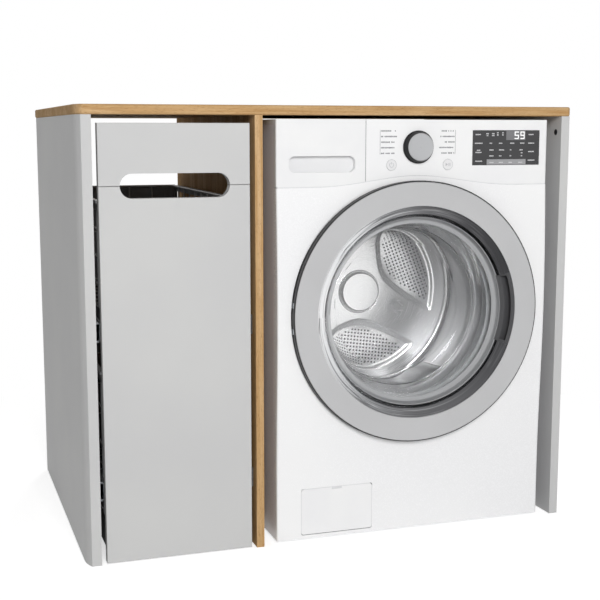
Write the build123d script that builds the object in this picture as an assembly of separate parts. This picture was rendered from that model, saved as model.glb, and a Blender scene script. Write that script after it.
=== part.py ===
from build123d import *
import math
import os

# Laundry cabinet: a worktop on two side panels and a divider, a pull-out hamper in the
# narrow bay and a front-loading washing machine in the wide bay.
# Millimetres. X to the right, Y to the rear, Z up. The origin is on the floor, in the
# middle of the overall width and depth.

# General fits
CLEAR = 0.5
PLAY = 0.3
RUNNING = 0.05
SEAM = 1.5

# Cabinet boards
SIDE_THICKNESS = 33.0
SIDE_FLAT = 22.0
CORNER_RADIUS = 97.0
DIVIDER_THICKNESS = 18.0
WORKTOP_THICKNESS = 22.0
WORKTOP_OVERHANG = 2.0
WORKTOP_EDGE = 4.0
WORKTOP_CORNER_X = 20.0
WORKTOP_CORNER_Y = 57.0
HAMPER_BAY = 361.0
WASHER_LEFT_GAP = 31.0
WASHER_RIGHT_GAP = 38.0
WASHER_TOP_GAP = 9.0
HOSE_SPACE = 80.0
RAIL_THICKNESS = 18.0
RAIL_HEIGHT = 100.0
RAIL_Z = 120.0

# Eccentric panel connectors
CAM_RADIUS = 7.5
CAM_DEPTH = 12.5
CAM_DROP = 38.0
CAM_INSET = 26.0

# Hamper fronts and grip slot
FRONT_THICKNESS = 22.0
FRONT_SIDE_GAP = 12.0
FRONT_TOP_GAP = 17.5
FRONT_FLOOR_GAP = 3.0
FRONT_SEAM = 1.0
SLOT_DROP = 153.0
SLOT_WIDTH = 245.0
SLOT_HEIGHT = 54.0
FRONT_EDGE = 1.0

# Ball-bearing runners
RUNNER_WIDTH = 12.7
RUNNER_HEIGHT = 45.0
RUNNER_SHEET = 1.2
RUNNER_LENGTH = 700.0
RUNNER_SETBACK = 8.0
RUNNER_LOW_Z = 162.0
RUNNER_HIGH_Z = 524.0

# Hamper frame and baskets
SIDE_RAIL = 4.0
UPRIGHT_SHEET = 3.0
UPRIGHT_LEG = 30.0
PLATE = 2.0
HAMPER_REAR_GAP = 22.0
BASE_Z = 27.0
UPPER_RIM_DROP = 33.0
UPPER_DEPTH = 250.0
LOWER_RIM_Z = 430.0
LOWER_DEPTH = 350.0
WIRE = 4.0
RIM = 6.0
BASKET_RAIL = 12.0
SIDE_COUNT = 11
END_COUNT = 5
ROW_COUNT = 3
BASKET_GAP = 3.0
JOINER_WIDTH = 30.0
JOINER_HEIGHT = 60.0

# Washing machine housing
WASHER_DEPTH = 720.0
WASHER_HEIGHT = 989.0
FOOT_HEIGHT = 8.0
FOOT_RADIUS = 22.0
FOOT_INSET = 60.0
SHEET = 1.5
FASCIA_SHEET = 2.5
FASCIA_DEPTH = 20.0
HOUSING_EDGE = 5.0
PANEL_BOW = 10.0
BOW_START = 140.0
BOW_SLOPE = 0.06
SEAT_GAP = 2.0
TOP_THICKNESS = 12.0
PAN_WALL = 25.0

# Seam between the fascia and the front panel: flat at both ends, arched over the door
FASCIA_HEIGHT = 153.5
SEAM_RISE = 24.0
SEAM_INSET = 55.0
DRAWER_SHARE = 0.3141

# Controls
KNOB_SHARE = 0.2763
KNOB_DROP = 63.0
KNOB_RADIUS = 38.0
KNOB_FACE = 32.0
KNOB_PROUD = 20.0
KNOB_SHAFT = 3.0
WINDOW_MARGIN = 21.5
WINDOW_DROP = 65.5
WINDOW_SHARE = 0.3783
WINDOW_HEIGHT = 82.0
BUTTON_DROP = 104.0
POWER_SHARE = 0.136
START_SHARE = 0.441
BUTTON_RADIUS = 13.0
BUTTON_TRAVEL = 1.5
BOARD_Y = 14.0

# Detergent drawer
SCOOP_WIDTH = 160.0
SCOOP_HEIGHT = 37.0
SCOOP_DROP = 101.0
SCOOP_DEPTH = 14.0
SCOOP_CORNER = 14.0
TRAY_WIDTH = 170.0
TRAY_LENGTH = 300.0
TRAY_HEIGHT = 70.0
TRAY_WALL = 2.0
TRAY_DROP = 123.0
DRAWER_TRAVEL = 220.0

# Door
DOOR_RADIUS = 310.0
DOOR_MARGIN = 33.0
DOOR_TOP_GAP = 10.5
DOOR_GAP = 4.0
FRAME_DEPTH = 18.0
RING_DEPTH = 6.0
RING_WIDTH = 58.0
RING_EDGE = 2.0
FRAME_LIP = 2.5
BEZEL_REACH = 8.0
BEZEL_TAPER = 33.0
BEZEL_SHEET = 3.0
GRIP_DEPTH = 32.0
GRIP_ANGLE = 20.0
GLASS = 4.0
GLASS_DEPTH = 109.0
GLASS_TAPER = 16.0
DOME_RISE = 9.0
HINGE_INSET = 5.0
HINGE_DEPTH = 14.0
PIN_RADIUS = 2.0
LUG_HALF = 3.5
LUG_HEIGHT = 12.0
LUG_OFFSET = 24.0
LATCH_INSET = 18.0

# Tub, drum and drive
TUB_SIDE_GAP = 51.0
TUB_WALL = 4.0
TUB_LENGTH = 326.0
TUB_SPLIT = 170.0
TUB_FLANGE = 10.0
DRUM_GAP = 22.0
DRUM_SHEET = 1.5
DRUM_REAR_GAP = 44.0
DRUM_FRONT_GAP = 4.0
LIFTER_HEIGHT = 56.0
LIFTER_BASE = 34.0
LIFTER_CREST = 12.0
CAP_RADIUS = 51.0
CAP_HEIGHT = 30.0
ARM_HALF = 64.0
ARM_HEIGHT = 18.0
ARM_SLOPE = 16.0
ARM_CORNER = 150.0
ARM_RIM = 50.0
SHAFT_RADIUS = 17.5
BEARING_RADIUS = 36.0
BEARING_WIDTH = 16.0
HUB_WALL = 26.0
HUB_LENGTH = 64.0
STATOR_RADIUS = 125.0
STATOR_LENGTH = 34.0
STATOR_YOKE = 18.0
ROTOR_GAP = 11.0
ROTOR_SHEET = 4.0
GASKET = 4.0
GASKET_LENGTH = 71.0

# Suspension
WEIGHT_THICKNESS = 36.0
WEIGHT_ANGLE = 64.0
SPRING_SIDE_GAP = 38.0
SPRING_RADIUS = 11.0
SPRING_WIRE = 2.0
SPRING_TURNS = 9
SPRING_END = 40.0
HANGER_DROP = 84.0
DAMPER_TUBE = 15.0
DAMPER_ROD = 6.0
DAMPER_BALL = 9.0
DAMPER_FOOT_INSET = 108.0
DAMPER_HEAD_X = 165.0

# Drain pump, filter and rear connections
FLAP_INSET = 149.0
FLAP_WIDTH = 176.0
FLAP_HEIGHT = 110.0
FLAP_Z = 73.0
FLAP_CORNER = 4.0
FLAP_SHEET = 3.0
FLAP_PEG = 2.0
PUMP_RADIUS = 40.0
PUMP_LENGTH = 95.0
PUMP_Y = 46.0
FILTER_RADIUS = 30.0
INLET_RADIUS = 13.2
INLET_LENGTH = 23.0
INLET_INSET = 113.0
INLET_PITCH = 60.0
INLET_DROP = 60.0
VALVE_DEPTH = 62.0
VALVE_HALF = 22.0
DRAIN_RADIUS = 11.0
DRAIN_INSET = 93.0
COVER_RADIUS = 210.0
COVER_BULGE = 12.0
COVER_RIM = 25.0
COVER_SLOPE = 35.0

# Derived positions
washer_width = 2 * (DOOR_RADIUS + DOOR_MARGIN)
cabinet_width = (
    2 * SIDE_THICKNESS + HAMPER_BAY + DIVIDER_THICKNESS
    + WASHER_LEFT_GAP + washer_width + WASHER_RIGHT_GAP
)
cabinet_depth = WASHER_DEPTH + HOSE_SPACE
panel_height = WASHER_HEIGHT + WASHER_TOP_GAP
slot_z = panel_height - SLOT_DROP
upper_rim_z = slot_z - UPPER_RIM_DROP
door_proud = DOOR_GAP + FRAME_DEPTH + RING_DEPTH
front_y = -(cabinet_depth - door_proud) / 2
rear_y = front_y + cabinet_depth
outer_x = cabinet_width / 2
inner_x = outer_x - SIDE_THICKNESS
divider_left = -inner_x + HAMPER_BAY
divider_right = divider_left + DIVIDER_THICKNESS
hamper_x = -inner_x + HAMPER_BAY / 2
washer_x = divider_right + WASHER_LEFT_GAP + washer_width / 2
corner_depth = SIDE_THICKNESS - SIDE_FLAT
corner_run = math.sqrt(2 * CORNER_RADIUS * corner_depth - corner_depth**2)
bay_half = HAMPER_BAY / 2
front_half = bay_half - FRONT_SIDE_GAP
hamper_rear = cabinet_depth - RAIL_THICKNESS - HAMPER_REAR_GAP
rail_outer = bay_half - RUNNER_WIDTH
rail_inner = rail_outer - SIDE_RAIL
upright_inner = rail_inner - UPRIGHT_SHEET
basket_half = upright_inner - CLEAR
basket_front = FRONT_THICKNESS + UPRIGHT_SHEET + BASKET_GAP
basket_rear = hamper_rear - PLATE - UPRIGHT_SHEET - BASKET_GAP
half_width = washer_width / 2
wall_x = half_width - SHEET
lid_z = WASHER_HEIGHT - TOP_THICKNESS
seam_z = WASHER_HEIGHT - FASCIA_HEIGHT
seam_span = DOOR_RADIUS - SEAM_INSET
axis_z = seam_z + SEAM_RISE - DOOR_TOP_GAP - DOOR_RADIUS
split_x = DRAWER_SHARE * washer_width - half_width
fascia_width = half_width - split_x
knob_x = split_x + KNOB_SHARE * fascia_width
knob_z = WASHER_HEIGHT - KNOB_DROP
power_x = split_x + POWER_SHARE * fascia_width
start_x = split_x + START_SHARE * fascia_width
button_z = WASHER_HEIGHT - BUTTON_DROP
window_width = WINDOW_SHARE * fascia_width
window_x = half_width - WINDOW_MARGIN - window_width / 2
window_z = WASHER_HEIGHT - WINDOW_DROP
scoop_z = WASHER_HEIGHT - SCOOP_DROP
tray_z = WASHER_HEIGHT - TRAY_DROP
hanger_z = WASHER_HEIGHT - HANGER_DROP
damper_foot_x = half_width - DAMPER_FOOT_INSET
flap_x = FLAP_INSET - half_width
inlet_x = half_width - INLET_INSET
drain_x = DRAIN_INSET - half_width
window_radius = DOOR_RADIUS - RING_WIDTH
hole_radius = window_radius - 14
frame_front = -DOOR_GAP - FRAME_DEPTH
ring_front = -door_proud
ring_radius = DOOR_RADIUS - FRAME_LIP
seat_radius = DOOR_RADIUS + SEAT_GAP
bezel_end = window_radius - BEZEL_TAPER
clamp_y = BEZEL_REACH + BEZEL_SHEET
rim_y = clamp_y + GLASS
rim_radius = hole_radius - 7
glass_radius = bezel_end - 6
hinge_x = -DOOR_RADIUS + HINGE_INSET
hinge_y = -DOOR_GAP - HINGE_DEPTH
latch_x = DOOR_RADIUS - LATCH_INSET
lip_y = rim_y + 18
gasket_rear = lip_y + GASKET_LENGTH
tub_radius = half_width - TUB_SIDE_GAP
tub_front_y = gasket_rear
tub_split_y = tub_front_y + TUB_SPLIT
tub_rear_y = tub_front_y + TUB_LENGTH
drum_radius = tub_radius - TUB_WALL - DRUM_GAP
drum_front_y = tub_front_y + TUB_WALL + DRUM_FRONT_GAP
drum_rear_y = tub_rear_y - DRUM_REAR_GAP
hub_y = tub_rear_y - 12
hub_end = hub_y + HUB_LENGTH
shaft_end = hub_end + 28
rotor_radius = STATOR_RADIUS + ROTOR_GAP + ROTOR_SHEET
spring_x = wall_x - SPRING_SIDE_GAP
spring_y = FASCIA_DEPTH + TRAY_LENGTH + 60
damper_y = tub_split_y - 60
weight_length = TUB_SPLIT - 30
flap_bottom = FLAP_Z - FLAP_HEIGHT / 2
flap_axis_y = 5.0
flap_axis_z = flap_bottom + 6
tray_x = (-half_width + split_x) / 2
hamper_place = Location((hamper_x, front_y, 0))
washer_place = Location((washer_x, front_y, 0))


def rect(x0, x1, z0, z1):
    return Pos((x0 + x1) / 2, (z0 + z1) / 2) * Rectangle(x1 - x0, z1 - z0)


def bar(x0, x1, y0, y1, z0, z1):
    centre = Pos((x0 + x1) / 2, (y0 + y1) / 2, (z0 + z1) / 2)
    return centre * Box(x1 - x0, y1 - y0, z1 - z0)


def rod_x(y, z, radius, x0, x1):
    return Pos((x0 + x1) / 2, y, z) * Rot(0, 90, 0) * Cylinder(radius, x1 - x0)


def rod_y(x, z, radius, y0, y1):
    return Pos(x, (y0 + y1) / 2, z) * Rot(90, 0, 0) * Cylinder(radius, y1 - y0)


def rod_z(x, y, radius, z0, z1):
    return Pos(x, y, (z0 + z1) / 2) * Cylinder(radius, z1 - z0)


def slab(outline, y0, y1):
    """Outline drawn in x and z, standing between two depths."""
    return extrude(Pos(0, y1, 0) * (Plane.XZ * outline), amount=y1 - y0)


def profile(points, rounded=(), radius=0.0):
    """Closed outline in radius and depth, with some corners rounded."""
    face = make_face(Polyline(*points, close=True))
    if radius:
        corners = [
            v for v in face.vertices()
            if any(math.hypot(v.X - r, v.Y - y) < 1e-4 for r, y in rounded)
        ]
        face = fillet(corners, radius)
    return face


def turned(face, x=0.0, z=axis_z):
    return Pos(x, 0, z) * revolve(face, Axis.Y)


def sector(face, angle):
    """Part of a turned body, centred on the right-hand side of the door."""
    swept = revolve(face, Axis.Y, revolution_arc=angle)
    return Pos(0, 0, axis_z) * Rot(0, -angle / 2, 0) * swept


def both_sides(part):
    return [part, mirror(part, Plane.YZ)]


def group(parts):
    return Compound([solid for part in parts for solid in part.solids()])


def corner_arc(edge_x, edge_y, side):
    """Shallow arc from a side face to the front face, side -1 left and 1 right."""
    half = math.asin(corner_run / CORNER_RADIUS) / 2
    centre_x = edge_x - side * CORNER_RADIUS
    centre_y = edge_y + corner_run
    middle = (
        centre_x + side * CORNER_RADIUS * math.cos(half),
        centre_y - CORNER_RADIUS * math.sin(half),
    )
    return ThreePointArc((edge_x, centre_y), middle, (edge_x - side * corner_depth, edge_y))


# Cabinet
def cam_sites():
    return [front_y + CAM_INSET, rear_y - CAM_INSET]


def cam_bores(face_x, inward):
    depth = face_x + inward * CAM_DEPTH
    low, high = min(face_x, depth), max(face_x, depth)
    z = panel_height - CAM_DROP
    return [rod_x(y, z, CAM_RADIUS, low, high) for y in cam_sites()]


def cams(face_x, inward):
    made = []
    for y in cam_sites():
        z = panel_height - CAM_DROP
        end = face_x + inward * (CAM_DEPTH - PLAY)
        low, high = min(face_x, end), max(face_x, end)
        cam = rod_x(y, z, CAM_RADIUS - 0.1, low, high)
        for turn in (45, -45):
            slot = Pos(face_x, y, z) * Rot(turn, 0, 0) * Box(5, 9, 2)
            cam -= slot
        made.append(cam)
    return made


def left_side_panel():
    lines = Polyline(
        (-outer_x + corner_depth, front_y),
        (-inner_x, front_y),
        (-inner_x, rear_y),
        (-outer_x, rear_y),
        (-outer_x, front_y + corner_run),
    )
    outline = make_face([corner_arc(-outer_x, front_y, -1), lines])
    return extrude(outline, amount=panel_height) - cam_bores(-inner_x, -1)


def divider_panel():
    board = bar(divider_left, divider_right, front_y, rear_y, 0, panel_height)
    return board - cam_bores(divider_right, -1)


def worktop():
    edge_x = outer_x + WORKTOP_OVERHANG
    edge_y = front_y - WORKTOP_OVERHANG
    in_x, start_y = edge_x - WORKTOP_CORNER_X, edge_y + WORKTOP_CORNER_Y
    front = Line((-in_x, edge_y), (in_x, edge_y))
    back = Polyline((edge_x, start_y), (edge_x, rear_y), (-edge_x, rear_y), (-edge_x, start_y))
    arcs = [
        EllipticalCenterArc((-in_x, start_y), WORKTOP_CORNER_X, WORKTOP_CORNER_Y, 180, arc_size=90),
        EllipticalCenterArc((in_x, start_y), WORKTOP_CORNER_X, WORKTOP_CORNER_Y, 270, arc_size=90),
    ]
    board = extrude(make_face([front, back] + arcs), amount=WORKTOP_THICKNESS)
    rims = board.edges().group_by(Axis.Z)
    board = fillet(rims[-1] + rims[0], WORKTOP_EDGE)
    return Pos(0, 0, panel_height) * board


def rear_rails():
    y = rear_y - RAIL_THICKNESS
    top = RAIL_Z + RAIL_HEIGHT
    left = bar(-inner_x, divider_left, y, rear_y, RAIL_Z, top)
    right = bar(divider_right, inner_x, y, rear_y, RAIL_Z, top)
    return [left, right]


# Runners, drawn for the left side from the panel's face
def runner_set(section):
    y0 = FRONT_THICKNESS + RUNNER_SETBACK
    member = slab(section, y0, y0 + RUNNER_LENGTH)
    pieces = []
    for z in (RUNNER_LOW_Z, RUNNER_HIGH_Z):
        pieces += both_sides(Pos(-bay_half, 0, z) * member)
    return pieces


def channel(x0, x1, height, web_left):
    half = height / 2
    hollow_0 = x0 + RUNNER_SHEET if web_left else x0 - 1
    hollow_1 = x1 + 1 if web_left else x1 - RUNNER_SHEET
    hollow = rect(hollow_0, hollow_1, RUNNER_SHEET - half, half - RUNNER_SHEET)
    return rect(x0, x1, -half, half) - hollow


nest = RUNNER_SHEET + PLAY
runner_outer = channel(0, 0.75 * RUNNER_WIDTH, RUNNER_HEIGHT, True)
runner_middle = channel(nest, 0.82 * RUNNER_WIDTH, RUNNER_HEIGHT - 2 * nest, True)
runner_inner = channel(2 * nest, RUNNER_WIDTH, RUNNER_HEIGHT - 4 * nest, False)


# Hamper, drawn about the middle of its bay with the front plane at y = 0
def hamper_fronts():
    slot = slab(Pos(0, slot_z) * SlotOverall(SLOT_WIDTH, SLOT_HEIGHT), -1, FRONT_THICKNESS + 1)
    top = panel_height - FRONT_TOP_GAP
    boards = []
    for z0, z1 in ((FRONT_FLOOR_GAP, slot_z - FRONT_SEAM / 2), (slot_z + FRONT_SEAM / 2, top)):
        board = bar(-front_half, front_half, 0, FRONT_THICKNESS, z0, z1)
        board = chamfer(board.edges().group_by(Axis.Y)[0], FRONT_EDGE)
        boards.append(board - slot)
    return boards


def front_joiners():
    y0, y1 = FRONT_THICKNESS, FRONT_THICKNESS + PLATE
    x1 = rail_inner - SIDE_RAIL
    low, high = slot_z - JOINER_HEIGHT / 2, slot_z + JOINER_HEIGHT / 2
    plate = bar(x1 - JOINER_WIDTH, x1, y0, y1, low, high)
    for z in (low + 12, high - 12):
        plate += rod_y(x1 - JOINER_WIDTH / 2, z, 4, y1, y1 + 2)
    return both_sides(plate)


def hamper_side_rails():
    y0, y1 = FRONT_THICKNESS, hamper_rear - PLATE
    rails = []
    for z in (RUNNER_LOW_Z, RUNNER_HIGH_Z):
        half = RUNNER_HEIGHT / 2
        rails += both_sides(bar(rail_inner, rail_outer, y0, y1, z - half, z + half))
    for z in (LOWER_RIM_Z - RIM, upper_rim_z - RIM):
        rails += both_sides(bar(rail_inner, rail_outer, y0, y1, z - BASKET_RAIL, z))
    return rails


def hamper_uprights():
    z0, z1 = BASE_Z + PLATE, upper_rim_z - RIM
    flange = rail_inner - UPRIGHT_LEG
    y0, y1 = FRONT_THICKNESS, hamper_rear - PLATE
    front = bar(upright_inner, rail_inner, y0, y0 + UPRIGHT_LEG, z0, z1)
    front += bar(flange, rail_inner, y0, y0 + UPRIGHT_SHEET, z0, z1)
    rear = bar(upright_inner, rail_inner, y1 - UPRIGHT_LEG, y1, z0, z1)
    rear += bar(flange, rail_inner, y1 - UPRIGHT_SHEET, y1, z0, z1)
    return both_sides(front) + both_sides(rear)


def net(length, height, columns, rows):
    """Flat wire net with a wire along each edge."""
    step_x = (length - WIRE) / columns
    step_z = (height - WIRE) / rows
    hole = Rectangle(step_x - WIRE, step_z - WIRE)
    return Rectangle(length, height) - GridLocations(step_x, step_z, columns, rows) * hole


def basket(rim_z, depth):
    """Four wire walls and a floor. The side walls carry ledges that rest on the rails."""
    length = basket_rear - basket_front
    middle_y = (basket_front + basket_rear) / 2
    middle_z = rim_z - depth / 2
    sheet = extrude(Plane.YZ * net(length, depth, SIDE_COUNT, ROW_COUNT), amount=WIRE)
    wall = Pos(basket_half - WIRE, middle_y, middle_z) * sheet
    ledge_0 = FRONT_THICKNESS + UPRIGHT_LEG + BASKET_GAP
    ledge_1 = hamper_rear - PLATE - UPRIGHT_LEG - BASKET_GAP
    wall += bar(basket_half - WIRE, rail_outer - 1, ledge_0, ledge_1, rim_z - RIM, rim_z)
    width = 2 * (basket_half - WIRE)
    end_net = Pos(0, middle_z) * net(width, depth, END_COUNT, ROW_COUNT)
    front = slab(end_net, basket_front, basket_front + WIRE)
    rear = slab(end_net, basket_rear - WIRE, basket_rear)
    floor_net = net(width, length - 2 * WIRE, END_COUNT, SIDE_COUNT)
    floor = Pos(0, middle_y, rim_z - depth) * extrude(floor_net, amount=WIRE)
    return both_sides(wall) + [front, rear, floor]


def hamper_base_plate():
    return bar(-rail_inner, rail_inner, FRONT_THICKNESS, hamper_rear, BASE_Z, BASE_Z + PLATE)


def hamper_rear_plate():
    y0 = hamper_rear - PLATE
    return bar(-rail_inner, rail_inner, y0, hamper_rear, BASE_Z + PLATE, upper_rim_z)


# Washing machine, drawn about its middle with the front plane at y = 0
def below_seam(raised):
    low = seam_z + raised
    high = low + SEAM_RISE
    side = half_width + 10
    lines = Polyline(
        (-seam_span, low), (-side, low), (-side, -10), (side, -10), (side, low), (seam_span, low)
    )
    arch = Spline(
        (seam_span, low), (0, high), (-seam_span, low), tangents=((-1, 0), (-1, 0))
    )
    return make_face([lines, arch])


def front_outline(inset):
    box = rect(inset - half_width, half_width - inset, FOOT_HEIGHT + inset, seam_z + SEAM_RISE + 9)
    return box & below_seam(-inset)


def upper_outline(x0, x1, inset):
    box = rect(x0 + inset, x1 - inset, seam_z - 9, WASHER_HEIGHT - inset)
    return box - below_seam(SEAM + inset)


def front_edges(part):
    return part.edges().filter_by(Axis.Z).group_by(Axis.Y)[0].sort_by(Axis.X)


def bowed(outline, inset, rear):
    """Outline standing behind a face that arches forward between the flap and the seam."""
    z0, z1 = BOW_START, seam_z + SEAM_RISE
    arch = Spline(
        (inset, z0), (inset - PANEL_BOW, (z0 + z1) / 2), (inset, z1), tangents=((0, 1), (BOW_SLOPE, 1))
    )
    lines = Polyline(
        (inset, z1), (inset, WASHER_HEIGHT), (rear + 1, WASHER_HEIGHT), (rear + 1, -1), (inset, -1), (inset, z0)
    )
    side = extrude(Plane.YZ * make_face([arch, lines]), amount=half_width + 1, both=True)
    body = slab(outline, -PANEL_BOW - 1, rear) & side
    edges = [
        e for e in body.edges()
        if abs(abs(e.center().X) - half_width + inset) < 0.01 and e.center().Y < inset + 1
        and abs((e % 0.5).Z) > 0.9
    ]
    return fillet(edges, HOUSING_EDGE - inset)


def washer_front_panel():
    panel = bowed(front_outline(0), 0, FASCIA_DEPTH)
    panel -= rod_y(0, axis_z, seat_radius, -PANEL_BOW - 2, 0)
    hollow = bowed(front_outline(SHEET), SHEET, FASCIA_DEPTH + 1)
    panel -= hollow - rod_y(0, axis_z, seat_radius + SHEET, -PANEL_BOW - 2, SHEET)
    collar = FASCIA_DEPTH - 6
    panel += rod_y(0, axis_z, hole_radius + SHEET, 0, collar)
    panel -= rod_y(0, axis_z, hole_radius, -1, collar + 1)
    window = RectangleRounded(FLAP_WIDTH + 2 * SEAM, FLAP_HEIGHT + 2 * SEAM, FLAP_CORNER + SEAM)
    panel -= slab(Pos(flap_x, FLAP_Z) * window, -1, SHEET + 1)
    for side in (-1, 1):
        edge = flap_x + side * (FLAP_WIDTH / 2 + SEAM + CLEAR)
        far = edge + side * 5
        lug = bar(min(edge, far), max(edge, far), SHEET, 10, flap_axis_z - 5, flap_axis_z + 5)
        lug -= rod_x(flap_axis_y, flap_axis_z, FLAP_PEG + RUNNING, edge - 9, edge + 9)
        panel += lug
    panel -= bar(latch_x - 8, latch_x + 12, -1, SHEET + 1, axis_z - 16, axis_z + 16)
    for z in (axis_z - LUG_OFFSET - LUG_HEIGHT / 2, axis_z + LUG_OFFSET + LUG_HEIGHT / 2):
        half = LUG_HEIGHT / 2 + CLEAR
        slot_x = LUG_HALF + CLEAR
        panel -= bar(hinge_x - slot_x, hinge_x + slot_x, -1, SHEET + 1, z - half, z + half)
    return panel


def control_fascia():
    x0, x1 = split_x + SEAM / 2, half_width
    panel = slab(upper_outline(x0, x1, 0), 0, FASCIA_DEPTH)
    panel = fillet(front_edges(panel)[-1:], HOUSING_EDGE)
    hollow = slab(upper_outline(x0, x1, FASCIA_SHEET), FASCIA_SHEET, FASCIA_DEPTH + 1)
    panel -= fillet(front_edges(hollow)[-1:], HOUSING_EDGE - FASCIA_SHEET)
    panel -= rod_y(knob_x, knob_z, KNOB_SHAFT + CLEAR, -1, FASCIA_SHEET + 1)
    for x in (power_x, start_x):
        panel -= rod_y(x, button_z, BUTTON_RADIUS + PLAY, -1, FASCIA_SHEET + 1)
    window = Rectangle(window_width + 2 * PLAY, WINDOW_HEIGHT + 2 * PLAY)
    panel -= slab(Pos(window_x, window_z) * window, -1, FASCIA_SHEET + 1)
    return panel


def drawer_front():
    x0, x1 = -half_width, split_x - SEAM / 2
    panel = slab(upper_outline(x0, x1, 0), 0, FASCIA_DEPTH)
    panel = fillet(front_edges(panel)[:1], HOUSING_EDGE)
    hollow = slab(upper_outline(x0, x1, FASCIA_SHEET), FASCIA_SHEET, FASCIA_DEPTH - FASCIA_SHEET)
    panel -= fillet(front_edges(hollow)[:1], HOUSING_EDGE - FASCIA_SHEET)
    scoop_place = Pos(tray_x + 2, scoop_z)
    skin = 2 * FASCIA_SHEET
    shell = RectangleRounded(SCOOP_WIDTH + skin, SCOOP_HEIGHT + skin, SCOOP_CORNER + FASCIA_SHEET)
    panel += slab(scoop_place * shell, FASCIA_SHEET / 2, SCOOP_DEPTH + FASCIA_SHEET)
    scoop = RectangleRounded(SCOOP_WIDTH, SCOOP_HEIGHT, SCOOP_CORNER)
    return panel - slab(scoop_place * scoop, -1, SCOOP_DEPTH)


def drawer_tray():
    half = TRAY_WIDTH / 2
    y0, y1 = FASCIA_DEPTH, FASCIA_DEPTH + TRAY_LENGTH
    z1 = tray_z + TRAY_HEIGHT
    tray = bar(tray_x - half, tray_x + half, y0, y1, tray_z, z1)
    room = (TRAY_WIDTH - 4 * TRAY_WALL) / 3
    for i in range(3):
        x = tray_x - half + TRAY_WALL + i * (room + TRAY_WALL)
        tray -= bar(x, x + room, y0 + TRAY_WALL, y1 - TRAY_WALL, tray_z + TRAY_WALL, z1 + 1)
    return tray


def drawer_housing():
    gap = 2.0
    half = TRAY_WIDTH / 2 + gap
    y0, y1 = FASCIA_DEPTH + gap, FASCIA_DEPTH + TRAY_LENGTH + 10
    z0, z1 = tray_z - gap, tray_z + TRAY_HEIGHT + gap
    wall = TRAY_WALL
    box = bar(tray_x - half - wall, tray_x + half + wall, y0, y1 + wall, z0 - wall, z1 + wall)
    box += bar(-wall_x + PLAY, split_x, y0, y0 + wall, z0 - 8, z1 + 8)
    return box - bar(tray_x - half, tray_x + half, y0 - 1, y1, z0, z1)


def program_knob():
    face = profile([
        (0, 1.5 - KNOB_PROUD), (KNOB_FACE - 5, 1 - KNOB_PROUD), (KNOB_FACE - 2, -KNOB_PROUD),
        (KNOB_FACE, 2 - KNOB_PROUD), (KNOB_RADIUS - 2, -6), (KNOB_RADIUS, -5), (KNOB_RADIUS, -1),
        (KNOB_SHAFT, -1), (KNOB_SHAFT, BOARD_Y - 2), (0, BOARD_Y - 2),
    ])
    return turned(face, knob_x, knob_z)


def display_window():
    plate = slab(rect(-window_width / 2, window_width / 2, -WINDOW_HEIGHT / 2, WINDOW_HEIGHT / 2), 0, 4)
    return Pos(window_x, 0, window_z) * chamfer(plate.edges().group_by(Axis.Y)[0], 0.4)


def push_button(x):
    cap = rod_y(x, button_z, BUTTON_RADIUS, -0.8, FASCIA_SHEET)
    cap = fillet(cap.edges().group_by(Axis.Y)[0], 0.6)
    cap += rod_y(x, button_z, BUTTON_RADIUS / 3, FASCIA_SHEET, BOARD_Y - 5 - BUTTON_TRAVEL - PLAY)
    return cap


def control_board():
    low, high = button_z - 12, window_z + WINDOW_HEIGHT / 2
    x0, x1 = split_x + 14, window_x + window_width / 2 + 14
    board = bar(x0, x1, BOARD_Y, BOARD_Y + 1.6, low, high)
    for x in (x0 + 6, x1 - 6):
        for z in (low + 6, high - 6):
            board += rod_y(x, z, 3, FASCIA_SHEET, BOARD_Y)
    board += rod_y(knob_x, knob_z, 12, 5, BOARD_Y)
    board -= rod_y(knob_x, knob_z, KNOB_SHAFT + RUNNING, 4, BOARD_Y - 1)
    for x in (power_x, start_x):
        board += rod_y(x, button_z, 5, BOARD_Y - 5, BOARD_Y)
    half_x, half_z = window_width / 2 - 10, WINDOW_HEIGHT / 2 - 10
    module = bar(-half_x, half_x, 4 + PLAY, BOARD_Y, -half_z, half_z)
    return board + Pos(window_x, 0, window_z) * module


def washer_wrap():
    """Two side walls with spring hangers, and the rear wall between them."""
    y0, y1 = FASCIA_DEPTH, WASHER_DEPTH
    side = bar(wall_x, half_width, y0, y1, FOOT_HEIGHT, lid_z)
    side += bar(spring_x - 4, wall_x, spring_y - 20, spring_y + 20, hanger_z, hanger_z + 4)
    rear = bar(-wall_x, wall_x, y1 - SHEET, y1, FOOT_HEIGHT, lid_z)
    rear -= rod_y(0, axis_z, COVER_RADIUS - 20, y1 - SHEET - 1, y1 + 1)
    z = WASHER_HEIGHT - INLET_DROP
    for x in (inlet_x - INLET_PITCH / 2, inlet_x + INLET_PITCH / 2):
        rear -= rod_y(x, z, INLET_RADIUS, y1 - SHEET - 1, y1 + 1)
    rear -= rod_y(drain_x, z, DRAIN_RADIUS, y1 - SHEET - 1, y1 + 1)
    return both_sides(side) + [rear]


def washer_top():
    y0 = FASCIA_DEPTH + PLAY
    lid = bar(-half_width, half_width, y0, WASHER_DEPTH, lid_z, WASHER_HEIGHT)
    lid = fillet(lid.edges().filter_by(Axis.Z).group_by(Axis.Y)[-1], HOUSING_EDGE)
    return chamfer(lid.edges().group_by(Axis.Z)[-1], 1.0)


def base_pan():
    half = wall_x - CLEAR
    y0, y1 = FASCIA_DEPTH + CLEAR, WASHER_DEPTH - SHEET - CLEAR
    pan = bar(-half, half, y0, y1, FOOT_HEIGHT, FOOT_HEIGHT + PAN_WALL)
    t = PLATE
    return pan - bar(t - half, half - t, y0 + t, y1 - t, FOOT_HEIGHT + t, FOOT_HEIGHT + PAN_WALL + 1)


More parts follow.
